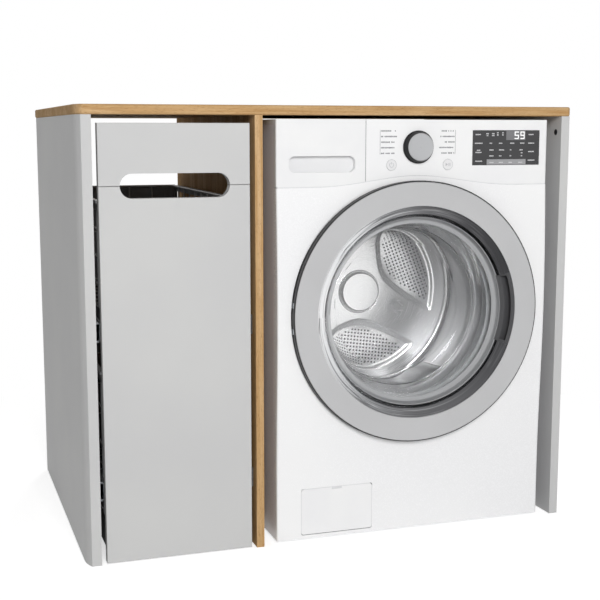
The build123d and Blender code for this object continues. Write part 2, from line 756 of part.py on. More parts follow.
def washer_feet():
    x = half_width - FOOT_INSET
    feet = []
    for y in (FOOT_INSET, WASHER_DEPTH - FOOT_INSET):
        foot = rod_z(x, y, FOOT_RADIUS, 0, FOOT_HEIGHT)
        foot = chamfer(foot.edges().group_by(Axis.Z)[0], 1.5)
        feet += both_sides(foot)
    return feet


def rear_cover():
    y, t = WASHER_DEPTH, SHEET
    foot = COVER_RADIUS - COVER_RIM
    crown = foot - COVER_SLOPE
    face = profile([
        (0, y + COVER_BULGE), (crown, y + COVER_BULGE), (foot, y + t),
        (COVER_RADIUS, y + t), (COVER_RADIUS, y), (foot - t / 2, y),
        (crown - t / 2, y + COVER_BULGE - t), (0, y + COVER_BULGE - t),
    ])
    return turned(face)


# Door
def bezel_radius(y):
    """Inner radius of the bezel's cone at a depth."""
    start = ring_front + 1.5
    share = (y - start) / (BEZEL_REACH - start)
    return window_radius - 2.5 - share * (window_radius - 2.5 - bezel_end)


def hinge_notches(rim):
    cuts = []
    for side in (-1, 1):
        z0 = axis_z + side * (LUG_OFFSET - CLEAR)
        z1 = axis_z + side * (LUG_OFFSET + LUG_HEIGHT + 3)
        x1 = hinge_x + LUG_HALF + 0.8
        cuts.append(bar(-rim - 10, x1, frame_front, 1, min(z0, z1), max(z0, z1)))
    return cuts


def door_frame():
    inner = window_radius + CLEAR
    bed = ring_radius + PLAY
    tip = (DOOR_RADIUS, ring_front + 1.5)
    corner = (DOOR_RADIUS, -DOOR_GAP)
    face = profile(
        [(inner, frame_front), (bed, frame_front), (bed, ring_front + 1.5), tip, corner, (inner, -DOOR_GAP)],
        [tip, corner], 1.5,
    )
    body = turned(face) - hinge_notches(DOOR_RADIUS)
    reach = window_radius + GRIP_DEPTH + CLEAR
    pocket = profile([
        (inner - 5, frame_front - 1), (reach, frame_front - 1),
        (reach, -DOOR_GAP - 2), (inner - 5, -DOOR_GAP - 2),
    ])
    body -= sector(pocket, 2 * GRIP_ANGLE)
    return body - rod_z(hinge_x, hinge_y, PIN_RADIUS + RUNNING, axis_z - 40, axis_z + 40)


def door_ring():
    corner = (ring_radius, ring_front)
    inner = (window_radius, ring_front)
    face = profile(
        [inner, corner, (ring_radius, frame_front), (window_radius, frame_front)],
        [corner], RING_EDGE,
    )
    return turned(face)


def door_bezel():
    lip = window_radius - PLAY
    start = ring_front + 1.5
    t = BEZEL_SHEET
    flange = window_radius + 16
    face = profile([
        (bezel_radius(start), start), (bezel_end, BEZEL_REACH), (bezel_end, clamp_y),
        (rim_radius, clamp_y), (rim_radius, BEZEL_REACH), (bezel_end + t + 0.5, BEZEL_REACH),
        (bezel_radius(2 - DOOR_GAP) + t + 0.5, 2 - DOOR_GAP), (flange, 2 - DOOR_GAP),
        (flange, -DOOR_GAP), (bezel_radius(-DOOR_GAP) + t + 0.5, -DOOR_GAP),
        (lip, bezel_y(lip - t - 0.5)), (lip, start),
    ])
    opening = profile([
        (bezel_end - 9, frame_front + 1), (lip + 5, frame_front + 1),
        (lip + 5, -DOOR_GAP - 3), (bezel_end - 9, -DOOR_GAP - 3),
    ])
    return turned(face) - sector(opening, 2 * GRIP_ANGLE - 2)


def bezel_y(radius):
    """Depth at which the bezel's cone has an inner radius."""
    start = ring_front + 1.5
    share = (window_radius - 2.5 - radius) / (window_radius - 2.5 - bezel_end)
    return start + share * (BEZEL_REACH - start)


def door_grip():
    t = 1.5
    outer = window_radius + GRIP_DEPTH
    inner = window_radius + CLEAR
    y0, y1 = frame_front + PLAY, -DOOR_GAP - 2 - PLAY
    face = profile([
        (inner, y0), (outer, y0), (outer, y1), (inner, y1),
        (inner, y1 - t), (outer - t, y1 - t), (outer - t, y0 + t), (inner, y0 + t),
    ])
    return sector(face, 2 * GRIP_ANGLE - 1)


def glass_outer(y):
    return glass_radius - GLASS_TAPER * (y - rim_y) / (0.62 * GLASS_DEPTH)


def door_glass():
    """Bowl with a clamped rim, a tapered wall and a slightly domed bottom."""
    side_y = rim_y + 0.62 * GLASS_DEPTH
    bottom = rim_y + GLASS_DEPTH
    foot = glass_radius - GLASS_TAPER
    edge = foot - 36
    t = GLASS
    dome = (edge**2 + DOME_RISE**2) / (2 * DOME_RISE)
    angle = math.asin(edge / dome)

    def on_dome(radius, share):
        turn = share * angle
        return (radius * math.sin(turn), bottom - dome + radius * math.cos(turn))

    outer_end = on_dome(dome, 1)
    inner_end = on_dome(dome - t, 1)
    lines = [
        Polyline(
            (foot - t, side_y), (glass_radius - t, clamp_y), (rim_radius, clamp_y),
            (rim_radius, rim_y), (glass_radius, rim_y), (foot, side_y),
        ),
        ThreePointArc((foot, side_y), (foot - 9, side_y + 23), outer_end),
        ThreePointArc(outer_end, on_dome(dome, 0.5), (0, bottom)),
        Line((0, bottom), (0, bottom - t)),
        ThreePointArc((0, bottom - t), on_dome(dome - t, 0.5), inner_end),
        ThreePointArc(inner_end, (foot - 12.4, side_y + 21), (foot - t, side_y)),
    ]
    return turned(make_face(lines))


def door_retainer():
    inner = glass_radius + 3
    face = profile([(inner, rim_y), (rim_radius, rim_y), (rim_radius, rim_y + 4), (inner, rim_y + 4)])
    return turned(face)


def latch_hook():
    tip = FASCIA_DEPTH
    hook = bar(latch_x - 4, latch_x + 4, -DOOR_GAP, tip, axis_z - 10, axis_z + 10)
    return hook + bar(latch_x + 4, latch_x + 8, tip - 6, tip, axis_z - 10, axis_z + 10)


def door_lock():
    box = bar(latch_x - 14, latch_x + 30, SHEET, 42, axis_z - 45, axis_z + 45)
    return box - bar(latch_x - 9, latch_x + 13, 0, 30, axis_z - 16, axis_z + 16)


def hinge_bracket():
    """Plate behind the front panel with two lugs that hold the door's pin."""
    reach = LUG_OFFSET + LUG_HEIGHT
    low, high = axis_z - reach, axis_z + reach
    plate = bar(hinge_x - 14, hinge_x + 14, SHEET, SHEET + 2.5, low - 12, high + 12)
    for side in (-1, 1):
        z = axis_z + side * (LUG_OFFSET + LUG_HEIGHT / 2)
        z0, z1 = z - LUG_HEIGHT / 2, z + LUG_HEIGHT / 2
        plate += bar(hinge_x - LUG_HALF, hinge_x + LUG_HALF, hinge_y, SHEET + 1, z0, z1)
        plate += rod_z(hinge_x, hinge_y, LUG_HALF, z0, z1)
    return plate + rod_z(hinge_x, hinge_y, PIN_RADIUS, low, high)


# Tub, drum and drive
def door_gasket():
    out = hole_radius - PLAY
    t = GASKET
    lip = glass_outer(lip_y) + CLEAR
    y = lip_y
    wide = hole_radius + 5
    face = profile([
        (out, 1), (out, 15), (wide, 18), (wide, y + 14), (wide - 8, y + 22), (wide, y + 30),
        (wide, y + 52), (hole_radius, y + 58), (hole_radius, gasket_rear),
        (hole_radius - t, gasket_rear), (hole_radius - t, y + 57), (wide - t, y + 50),
        (wide - t, y + 31.5), (wide - t - 8, y + 22), (wide - t, y + 12.5), (wide - t, y + 4),
        (lip + 5, y + 4), (lip, y + 2), (lip, y), (lip + 5, y + 1), (out - t, y + 1),
        (out - t, 1),
    ])
    return turned(face)


def tub_front():
    r, t, y0, y1 = tub_radius, TUB_WALL, tub_front_y, tub_split_y
    neck = hole_radius + PLAY
    face = profile([
        (neck, y0 - 11), (neck + t, y0 - 11), (neck + t, y0), (r, y0), (r, y1 - 6),
        (r + TUB_FLANGE, y1 - 6), (r + TUB_FLANGE, y1), (r - t, y1), (r - t, y0 + t), (neck, y0 + t),
    ])
    body = turned(face)
    low = axis_z - math.sqrt(r**2 - DAMPER_HEAD_X**2)
    lug = bar(DAMPER_HEAD_X - 14, DAMPER_HEAD_X + 14, damper_y - 12, damper_y + 12, low - 18, low + 14)
    lug -= rod_y(0, axis_z, r - t / 2, y0 + 10, y1 - 10)
    for piece in both_sides(lug):
        body += piece
    return body


def tub_rear():
    r, t, y0, y1 = tub_radius, TUB_WALL, tub_split_y, tub_rear_y
    hub = BEARING_RADIUS + HUB_WALL
    wall = y1 - 8
    face = profile([
        (r - t, y0), (r + TUB_FLANGE, y0), (r + TUB_FLANGE, y0 + 6), (r, y0 + 6), (r, y1), (hub, y1),
        (hub, hub_end), (BEARING_RADIUS, hub_end), (BEARING_RADIUS, hub_end - BEARING_WIDTH - 4),
        (BEARING_RADIUS - 6, hub_end - BEARING_WIDTH - 4), (BEARING_RADIUS - 6, hub_y + BEARING_WIDTH + 4),
        (BEARING_RADIUS, hub_y + BEARING_WIDTH + 4), (BEARING_RADIUS, hub_y), (hub, hub_y),
        (hub, wall), (r - t, wall),
    ])
    body = turned(face)
    low = axis_z + 51
    lug = bar(tub_radius - 30, spring_x + 14, spring_y - 12, spring_y + 12, low, low + 12)
    lug -= rod_y(0, axis_z, r - t / 2, y0 + 10, y1 - 10)
    for piece in both_sides(lug):
        body += piece
    return body


def main_bearings():
    rings = []
    for y in (hub_y + 4, hub_end - 4 - BEARING_WIDTH):
        inner = SHAFT_RADIUS + RUNNING
        face = profile([
            (inner, y), (BEARING_RADIUS, y), (BEARING_RADIUS, y + BEARING_WIDTH), (inner, y + BEARING_WIDTH)
        ])
        rings.append(turned(face))
    return rings


def drum_shell():
    r, t, y0, y1 = drum_radius, DRUM_SHEET, drum_front_y, drum_rear_y
    mouth = glass_radius + 5
    face = profile([
        (mouth, y0 + 2), (mouth + 3, y0), (r, y0), (r, y1), (r - t, y1), (r - t, y0 + t),
        (mouth + 4, y0 + t), (mouth + 2, y0 + 3), (mouth + 2, y0 + 12), (mouth, y0 + 12),
    ])
    return turned(face)


def arm_star(radius):
    """Three wide arms from the hub to a rim, with rounded corners round the hub."""
    star = Sketch()
    for turn in (90, 210, 330):
        star += Rot(0, 0, turn) * Pos(radius / 2, 0) * Rectangle(radius, 2 * ARM_HALF)
    corners = [v for v in star.vertices() if math.hypot(v.X, v.Y) < radius / 2]
    star = fillet(corners, ARM_CORNER)
    rim = Circle(radius + 2 * ARM_SLOPE) - Circle(radius - ARM_RIM)
    return star + rim


def drum_rear():
    """Rear wall with raised arms and a hub cap. The sunk fields between the arms drain."""
    y1 = drum_rear_y - 1
    face_y = y1 - 2
    radius = drum_radius - DRUM_SHEET - PLAY
    wall = rod_y(0, 0, radius, face_y, y1)
    arms = slab(arm_star(radius), face_y - ARM_HEIGHT, face_y)
    wall += chamfer(arms.edges().group_by(Axis.Y)[0], ARM_SLOPE) & rod_y(0, 0, radius, 0, y1)
    cap = rod_y(0, 0, CAP_RADIUS, face_y - CAP_HEIGHT, face_y)
    cap = fillet(cap.edges().group_by(Axis.Y)[0], 6)
    return Pos(0, 0, axis_z) * (wall + cap)


def drum_lifters():
    base = math.sqrt((drum_radius - DRUM_SHEET - PLAY) ** 2 - LIFTER_BASE**2)
    y0, y1 = drum_front_y + 30, drum_rear_y - 22
    section = make_face(Polyline(
        (-LIFTER_BASE, base), (-LIFTER_CREST, base - LIFTER_HEIGHT), (LIFTER_CREST, base - LIFTER_HEIGHT),
        (LIFTER_BASE, base), close=True
    ))
    crests = section.vertices().sort_by(Axis.Y)[:2]
    lifter = slab(fillet(crests, 8), y0, y1)
    return [Pos(0, 0, axis_z) * Rot(0, turn, 0) * lifter for turn in (30, 150, 270)]


def drum_spider():
    y0 = drum_rear_y - 1
    hub = rod_y(0, 0, 46, y0, hub_y - 4)
    arm = bar(-16, 16, y0, y0 + 14, 20, drum_radius - DRUM_SHEET - 8)
    for turn in (60, 180, 300):
        hub += Rot(0, turn, 0) * arm
    hub += rod_y(0, 0, SHAFT_RADIUS, hub_y - 4, shaft_end)
    return Pos(0, 0, axis_z) * hub


def motor_stator():
    y0, y1 = tub_rear_y, tub_rear_y + STATOR_LENGTH
    hub = BEARING_RADIUS + HUB_WALL
    ring = rod_y(0, 0, STATOR_RADIUS, y0, y1) - rod_y(0, 0, hub + CLEAR, y0 - 1, y1 + 1)
    slot = bar(-4, 4, y0 - 1, y1 + 1, hub + STATOR_YOKE, STATOR_RADIUS + 1)
    for i in range(18):
        ring -= Rot(0, 20 * i, 0) * slot
    return Pos(0, 0, axis_z) * ring


def motor_rotor():
    y0, y1 = tub_rear_y + 6, shaft_end - 6
    disc_0 = hub_end + 4
    disc_1 = disc_0 + ROTOR_SHEET
    r = rotor_radius
    boss = SHAFT_RADIUS + 12
    face = profile([
        (SHAFT_RADIUS, disc_0), (r - ROTOR_SHEET, disc_0), (r - ROTOR_SHEET, y0), (r, y0),
        (r, disc_1), (boss, disc_1), (boss, y1), (SHAFT_RADIUS, y1),
    ])
    return turned(face)


def counterweight():
    inner = tub_radius + CLEAR
    outer = inner + WEIGHT_THICKNESS
    y0 = tub_front_y + 16
    face = profile([(inner, y0), (outer, y0), (outer, y0 + weight_length), (inner, y0 + weight_length)])
    swept = revolve(face, Axis.Y, revolution_arc=WEIGHT_ANGLE)
    return Pos(0, 0, axis_z) * Rot(0, -90 - WEIGHT_ANGLE / 2, 0) * swept


def suspension_springs():
    low = axis_z + 51 + 12
    start, end = low + SPRING_END, hanger_z - SPRING_END
    coil_path = Helix((end - start) / SPRING_TURNS, end - start, SPRING_RADIUS)
    coil = sweep(Plane(coil_path @ 0, z_dir=coil_path % 0) * Circle(SPRING_WIRE), coil_path)
    spring = Pos(0, 0, start) * coil
    spring += rod_z(SPRING_RADIUS, 0, SPRING_WIRE, low + PLAY, start)
    spring += rod_z(SPRING_RADIUS, 0, SPRING_WIRE, end, hanger_z - PLAY)
    return both_sides(Pos(spring_x - SPRING_RADIUS, spring_y, 0) * spring)


def tub_dampers():
    low = FOOT_HEIGHT + PLATE + DAMPER_BALL + PLAY
    high = axis_z - math.sqrt(tub_radius**2 - DAMPER_HEAD_X**2) - 18 - DAMPER_BALL - PLAY
    run, rise = damper_foot_x - DAMPER_HEAD_X, high - low
    length = math.hypot(run, rise)
    strut = Sphere(DAMPER_BALL) + Pos(0, 0, length) * Sphere(DAMPER_BALL)
    strut += rod_z(0, 0, DAMPER_TUBE, DAMPER_BALL, 0.55 * length)
    strut += rod_z(0, 0, DAMPER_ROD, 0, length)
    tilt = -math.degrees(math.atan2(run, rise))
    return both_sides(Pos(damper_foot_x, damper_y, low) * Rot(0, tilt, 0) * strut)


# Drain, filter and rear connections
def drain_pump():
    y0, y1 = PUMP_Y, PUMP_Y + PUMP_LENGTH
    body = rod_y(flap_x, FLAP_Z, PUMP_RADIUS, y0, y1)
    body += rod_y(flap_x, FLAP_Z, PUMP_RADIUS - 12, y1, y1 + 45)
    base = FOOT_HEIGHT + PLATE
    body += bar(flap_x - 30, flap_x + 30, y0 + 15, y1 - 20, base, FLAP_Z)
    body += rod_z(flap_x, y1 - 40, 16, FLAP_Z, FLAP_Z + PUMP_RADIUS + 22)
    return body - rod_y(flap_x, FLAP_Z, FILTER_RADIUS, y0 - 1, y0 + 45)


def filter_cap():
    y = PUMP_Y - PLAY
    cap = rod_y(flap_x, FLAP_Z, FILTER_RADIUS - RUNNING, y - 1, y + 28)
    cap += rod_y(flap_x, FLAP_Z, PUMP_RADIUS - 3, y - 7, y)
    return cap + bar(flap_x - 30, flap_x + 30, y - 19, y - 7, FLAP_Z - 6, FLAP_Z + 6)


def filter_flap():
    outline = RectangleRounded(FLAP_WIDTH, FLAP_HEIGHT, FLAP_CORNER)
    plate = slab(Pos(flap_x, FLAP_Z) * outline, 0, FLAP_SHEET)
    half = FLAP_WIDTH / 2
    bead = rod_x(flap_axis_y, flap_axis_z, 4, flap_x - half + 8, flap_x + half - 8)
    pegs = rod_x(flap_axis_y, flap_axis_z, FLAP_PEG, flap_x - half - 6, flap_x + half + 6)
    top = FLAP_Z + FLAP_HEIGHT / 2
    notch = bar(flap_x - 13, flap_x + 13, -1, FLAP_SHEET + 1, top - 5, top + 1)
    return plate + bead + pegs - notch


def inlet_valve():
    y, z = WASHER_DEPTH, WASHER_HEIGHT - INLET_DROP
    half = INLET_PITCH / 2 + 20
    valve = bar(inlet_x - half, inlet_x + half, y - VALVE_DEPTH, y - SHEET, z - VALVE_HALF, z + VALVE_HALF)
    for x in (inlet_x - INLET_PITCH / 2, inlet_x + INLET_PITCH / 2):
        valve += rod_y(x, z, INLET_RADIUS - 1.5, y - SHEET - 1, y + 2)
        valve += rod_y(x, z, INLET_RADIUS + 4, y + PLAY, y + 2)
        valve += rod_y(x, z, INLET_RADIUS, y + 2, y + 2 + INLET_LENGTH)
        valve -= rod_y(x, z, INLET_RADIUS - 4, y - 10, y + 3 + INLET_LENGTH)
    return valve


def drain_outlet():
    y, z = WASHER_DEPTH, WASHER_HEIGHT - INLET_DROP
    spout = rod_y(drain_x, z, DRAIN_RADIUS + 7, y - SHEET - 3, y - SHEET)
    spout += rod_y(drain_x, z, DRAIN_RADIUS - 1.5, y - SHEET - 30, y + 2)
    spout += rod_y(drain_x, z, DRAIN_RADIUS + 4, y + PLAY, y + 2)
    spout += rod_y(drain_x, z, DRAIN_RADIUS, y + 2, y + 2 + INLET_LENGTH)
    return spout - rod_y(drain_x, z, DRAIN_RADIUS - 4, y - SHEET - 31, y + 3 + INLET_LENGTH)


left_panel = left_side_panel()
lower_front, upper_front = hamper_fronts()

cabinet_nodes = {
    "worktop": worktop(),
    "left_side_panel": left_panel,
    "right_side_panel": mirror(left_panel, Plane.YZ),
    "divider_panel": divider_panel(),
    "rear_rails": group(rear_rails()),
    "panel_connectors": group(cams(-inner_x, -1) + cams(divider_right, -1) + cams(inner_x, 1)),
}

hamper_nodes = {
    "runner_cabinet_members": group(runner_set(runner_outer)),
    "runner_middle_members": group(runner_set(runner_middle)),
    "runner_drawer_members": group(runner_set(runner_inner)),
    "hamper_front_lower": lower_front,
    "hamper_front_upper": upper_front,
    "front_joiners": group(front_joiners()),
    "hamper_side_rails": group(hamper_side_rails()),
    "hamper_uprights": group(hamper_uprights()),
    "hamper_base_plate": hamper_base_plate(),
    "hamper_rear_plate": hamper_rear_plate(),
    "basket_upper": group(basket(upper_rim_z, UPPER_DEPTH)),
    "basket_lower": group(basket(LOWER_RIM_Z, LOWER_DEPTH)),
}

washer_nodes = {
    "washer_wrap": group(washer_wrap()),
    "washer_top": washer_top(),
    "washer_front_panel": washer_front_panel(),
    "washer_base_pan": base_pan(),
    "washer_feet": group(washer_feet()),
    "washer_rear_cover": rear_cover(),
    "control_fascia": control_fascia(),
    "control_board": control_board(),
    "display_window": display_window(),
    "program_knob": program_knob(),
    "power_button": push_button(power_x),
    "start_button": push_button(start_x),
    "drawer_front": drawer_front(),
    "drawer_tray": drawer_tray(),
    "drawer_housing": drawer_housing(),
    "door_frame": door_frame(),
    "door_ring": door_ring(),
    "door_bezel": door_bezel(),
    "door_grip": door_grip(),
    "door_glass": door_glass(),
    "door_retainer": door_retainer(),
    "door_latch_hook": latch_hook(),
    "door_lock": door_lock(),
    "door_hinge_bracket": hinge_bracket(),
    "door_gasket": door_gasket(),
    "tub_front": tub_front(),
    "tub_rear": tub_rear(),
    "main_bearings": group(main_bearings()),
    "drum_shell": drum_shell(),
    "drum_rear": drum_rear(),
    "drum_lifters": group(drum_lifters()),
    "drum_spider": drum_spider(),
    "motor_stator": motor_stator(),
    "motor_rotor": motor_rotor(),
    "counterweight": counterweight(),
    "suspension_springs": group(suspension_springs()),
    "tub_dampers": group(tub_dampers()),
    "drain_pump": drain_pump(),
    "filter_cap": filter_cap(),
    "filter_flap": filter_flap(),
    "inlet_valve": inlet_valve(),
    "drain_outlet": drain_outlet(),
}

nodes = dict(cabinet_nodes)
for name, piece in hamper_nodes.items():
    nodes[name] = hamper_place * piece
for name, piece in washer_nodes.items():
    nodes[name] = washer_place * piece

os.makedirs("parts", exist_ok=True)
for name, piece in nodes.items():
    export_step(piece, f"parts/{name}.step")
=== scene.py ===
# %% [markdown]
# # A laundry cabinet with a pull-out hamper and a washing machine
#
# The solids of the whole object are already built, and every one of them sits where it belongs.
# This lesson dresses them. It sets up a camera and a plain studio, mixes one finish for each
# material of the real object, and adds the fine pieces that solids are too coarse for: round
# wire, pressed steel, printed marks, screws and threads. Lengths are in metres.

# %% Load the solids
from math import cos, pi, radians, sin

import bmesh
import bpy
import numpy as np
from mathutils import Matrix, Vector


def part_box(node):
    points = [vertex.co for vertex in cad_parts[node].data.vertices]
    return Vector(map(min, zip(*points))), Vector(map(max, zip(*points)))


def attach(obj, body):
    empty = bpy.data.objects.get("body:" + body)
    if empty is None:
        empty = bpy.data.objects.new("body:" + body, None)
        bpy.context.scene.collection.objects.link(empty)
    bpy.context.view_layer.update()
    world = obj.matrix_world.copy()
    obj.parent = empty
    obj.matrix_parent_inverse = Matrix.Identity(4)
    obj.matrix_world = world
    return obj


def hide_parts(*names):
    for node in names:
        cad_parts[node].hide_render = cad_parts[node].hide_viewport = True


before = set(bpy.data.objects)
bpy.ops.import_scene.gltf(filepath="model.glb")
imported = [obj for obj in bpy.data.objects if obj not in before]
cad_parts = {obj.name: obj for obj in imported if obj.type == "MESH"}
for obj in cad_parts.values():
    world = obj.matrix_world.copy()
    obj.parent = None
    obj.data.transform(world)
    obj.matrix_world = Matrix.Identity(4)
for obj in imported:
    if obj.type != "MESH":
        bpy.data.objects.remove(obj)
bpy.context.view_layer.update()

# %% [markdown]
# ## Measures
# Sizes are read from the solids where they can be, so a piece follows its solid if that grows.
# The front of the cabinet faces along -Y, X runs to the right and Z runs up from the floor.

MM = 0.001


def middle(node):
    low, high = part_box(node)
    return (low + high) / 2


def half_size(node):
    low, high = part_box(node)
    return (high - low) / 2


door_axis = middle("door_ring")
knob_axis = middle("program_knob")
print("door axis at x %.3f, z %.3f" % (door_axis.x, door_axis.z))

# %% [markdown]
# ## Node graphs as short sentences
# A finish and a grown pattern are both graphs of nodes. Wired one socket at a time they take
# many lines and hide what they mean. A small class wraps a socket, so that sums on it add Math
# nodes by themselves, and one method makes any other node from its type, its settings and what
# goes into its sockets.

# %% A link that can be added, multiplied and compared


class Link:
    def __init__(self, graph, socket):
        self.graph, self.socket = graph, socket

    def math(self, operation, *terms):
        return self.graph.node("ShaderNodeMath", {"operation": operation}, dict(enumerate(terms)))

    def also(self, output):
        return Link(self.graph, self.socket.node.outputs[output])

    def __add__(self, other):
        return self.math("ADD", self, other)

    def __radd__(self, other):
        return self.math("ADD", other, self)

    def __sub__(self, other):
        return self.math("SUBTRACT", self, other)

    def __rsub__(self, other):
        return self.math("SUBTRACT", other, self)

    def __mul__(self, other):
        return self.math("MULTIPLY", self, other)

    def __rmul__(self, other):
        return self.math("MULTIPLY", other, self)

    def __truediv__(self, other):
        return self.math("DIVIDE", self, other)

    def __rtruediv__(self, other):
        return self.math("DIVIDE", other, self)

    def __pow__(self, other):
        return self.math("POWER", self, other)

    def __abs__(self):
        return self.math("ABSOLUTE", self)

    def __lt__(self, other):
        return self.math("LESS_THAN", self, other)

    def __gt__(self, other):
        return self.math("GREATER_THAN", self, other)


# %% A graph that makes any node


class Graph:
    def __init__(self, tree):
        self.tree = tree

    def feed(self, socket, value):
        if isinstance(value, Link):
            self.tree.links.new(value.socket, socket)
        elif isinstance(value, list) and value and isinstance(value[0], Link):
            for one in value:
                self.tree.links.new(one.socket, socket)
        else:
            socket.default_value = value

    def node(self, kind, settings=None, inputs=None, output=0):
        made = self.tree.nodes.new(kind)
        for name, value in (settings or {}).items():
            if name == "stops":
                stops = made.color_ramp.elements
                while len(stops) < len(value):
                    stops.new(0.5)
                for stop, (place, colour) in zip(stops, value):
                    stop.position, stop.color = place, colour
            else:
                setattr(made, name, value)
        for key, value in (inputs or {}).items():
            self.feed(made.inputs[key], value)
        return Link(self, made.outputs[output])

    def bring(self, x=0.0, y=0.0, z=0.0):
        return self.node("ShaderNodeCombineXYZ", None, {"X": x, "Y": y, "Z": z})

    def along(self, where):
        x = self.node("ShaderNodeSeparateXYZ", None, {"Vector": where})
        return x, x.also("Y"), x.also("Z")

    def step(self, value, low, high, start=0.0, end=1.0):
        return self.node("ShaderNodeMapRange", {"interpolation_type": "SMOOTHSTEP"}, {
            "Value": value, "From Min": low, "From Max": high, "To Min": start, "To Max": end})


print("node graphs are ready to be written")

# %% [markdown]
# ## What every finish needs
# A finish is one Principled shader. What is the same all over goes straight on the shader's own
# socket. What changes over the surface, such as grain, comes from noise on Object coordinates,
# which are metres on the real object, so the size of a grain can be written as it is measured.

# %% A finish with its usual tools


def tint(code):
    parts = [int(code[i:i + 2], 16) / 255 for i in (0, 2, 4)]
    return [p / 12.92 if p <= 0.04045 else ((p + 0.055) / 1.055) ** 2.4 for p in parts] + [1.0]


class Finish(Graph):
    def __init__(self, name, constants):
        self.material = bpy.data.materials.new(name)
        self.material.use_nodes = True
        super().__init__(self.material.node_tree)
        self.tree.nodes.clear()
        self.shader = self.tree.nodes.new("ShaderNodeBsdfPrincipled")
        self.out = self.tree.nodes.new("ShaderNodeOutputMaterial")
        self.end_in(self.surface())
        for socket, value in constants.items():
            self.set(socket, value)

    def surface(self):
        return Link(self, self.shader.outputs[0])

    def end_in(self, shader):
        self.feed(self.out.inputs["Surface"], shader)

    def set(self, socket, value):
        self.feed(self.shader.inputs[socket], value)

    def place(self, size=(1, 1, 1), centre=(0, 0, 0), turn=(0, 0, 0)):
        where = self.node("ShaderNodeTexCoord", output="Object")
        return self.node("ShaderNodeMapping", {"vector_type": "TEXTURE"}, {
            "Vector": where, "Location": centre, "Rotation": turn, "Scale": size})

    def round_axis(self, axis):
        x, y, z = self.along(self.place((1, 1, 1), (axis.x, 0, axis.z)))
        return x, y, z, (x * x + z * z) ** 0.5

    def noise(self, where, detail=2.0, rough=0.5, bend=0.0):
        return self.node("ShaderNodeTexNoise", None, {
            "Vector": where, "Scale": 1.0, "Detail": detail, "Roughness": rough, "Distortion": bend})

    def grain(self, size, detail=2.0, rough=0.5):
        return self.noise(self.place((size, size, size)), detail, rough)

    def cells(self, size, output="Distance"):
        where = self.place((size, size, size))
        return self.node("ShaderNodeTexVoronoi", None, {"Vector": where, "Scale": 1.0}, output)

    def blend(self, share, first, second):
        return self.node("ShaderNodeMix", {"data_type": "RGBA"}, {0: share, 6: first, 7: second}, 2)

    def mottle(self, value, colour, deeper, low=0.3, high=0.7):
        return self.blend(self.step(value, low, high), tint(colour), tint(deeper))

    def stain(self, share, colour):
        so_far = Link(self, self.shader.inputs["Base Color"].links[0].from_socket)
        self.set("Base Color", self.blend(share, so_far, tint(colour)))

    def bump(self, height, distance, strength=1.0):
        self.set("Normal", self.node("ShaderNodeBump", None, {
            "Height": height, "Distance": distance, "Strength": strength}))


# %% Put a finish on solids


def dress(finish, *names):
    for name in names:
        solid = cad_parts[name]
        if not solid.material_slots:
            solid.data.materials.append(None)
        for slot in solid.material_slots:
            slot.material = finish.material
    print("%s on %d solids" % (finish.material.name, len(names)))


# %% [markdown]
# ## The camera
# The photograph is taken from the left, a little below the height of the worktop, with a long
# lens. The edges of the cabinet give the camera: its place, its turn and its angle of view were
# worked out from the corners of the panels and the rim of the door.

# %% Camera
CAMERA_PLACE, CAMERA_DOWN, CAMERA_TURN = (-0.9316, -2.8812, 0.9642), 8.32, 18.42
LENS_MM, SENSOR_MM = 69.58, 36.0
scene = bpy.context.scene
camera = bpy.data.objects.new("camera", bpy.data.cameras.new("camera"))
scene.collection.objects.link(camera)
camera.location = CAMERA_PLACE
camera.rotation_euler = (radians(90 - CAMERA_DOWN), 0.0, radians(-CAMERA_TURN))
camera.data.lens, camera.data.sensor_width = LENS_MM, SENSOR_MM
scene.camera = camera
scene.view_settings.view_transform = "Standard"
print("camera looks from", [round(v, 2) for v in camera.location])

# %% [markdown]
# ## The studio
# Catalogue pictures of furniture stand on plain white. One wide lamp stands above and behind the
# camera, so most shadows fall behind what casts them. It lights the fronts, reaches a little way
# into the gaps and leaves the left side in soft shade. A weaker lamp behind the cabinet lights
# its back and its right side, for pictures from there. The world gives an even, lower light.
# What the camera, a mirror or a pane of glass sees of the world is white, without adding light to
# the object, and the floor does the same further away, while it keeps the shadow close by.

# %% World
SHADE_LIGHT = 0.2
WHITE = (1, 1, 1, 1)
world = bpy.data.worlds.new("studio")
scene.world = world
world.use_nodes = True
sky = Graph(world.node_tree)
world.node_tree.nodes.clear()


def seen_directly(graph):
    path = graph.node("ShaderNodeLightPath", output="Is Camera Ray")
    every = path + path.also("Is Glossy Ray") + path.also("Is Transmission Ray")
    return path.math("MINIMUM", every, 1.0)


brightness = SHADE_LIGHT + seen_directly(sky) * (1.0 - SHADE_LIGHT)
backdrop = sky.node("ShaderNodeBackground", None, {"Color": WHITE, "Strength": brightness})
world_out = world.node_tree.nodes.new("ShaderNodeOutputWorld")
sky.feed(world_out.inputs["Surface"], backdrop)
print("the world lights the shade with %.1f of white" % SHADE_LIGHT)

# %% Lamps
AIM = Vector((0.1, 0.0, 0.55))
LAMP_WIDTH = 2.0


def soft_lamp(name, place, power):
    lamp = bpy.data.objects.new(name, bpy.data.lights.new(name, "AREA"))
    scene.collection.objects.link(lamp)
    lamp.data.shape = "RECTANGLE"
    lamp.data.size = lamp.data.size_y = LAMP_WIDTH
    lamp.data.energy = power
    lamp.visible_glossy = False
    lamp.location = place
    way = AIM - lamp.location
    lamp.rotation_euler = way.to_track_quat("-Z", "Y").to_euler()
    print("%s stands %.1f m away" % (name, way.length))


soft_lamp("wide lamp", (-1.0, -5.2, 2.5), 200.0)
soft_lamp("rear fill lamp", (1.8, 4.6, 2.2), 80.0)

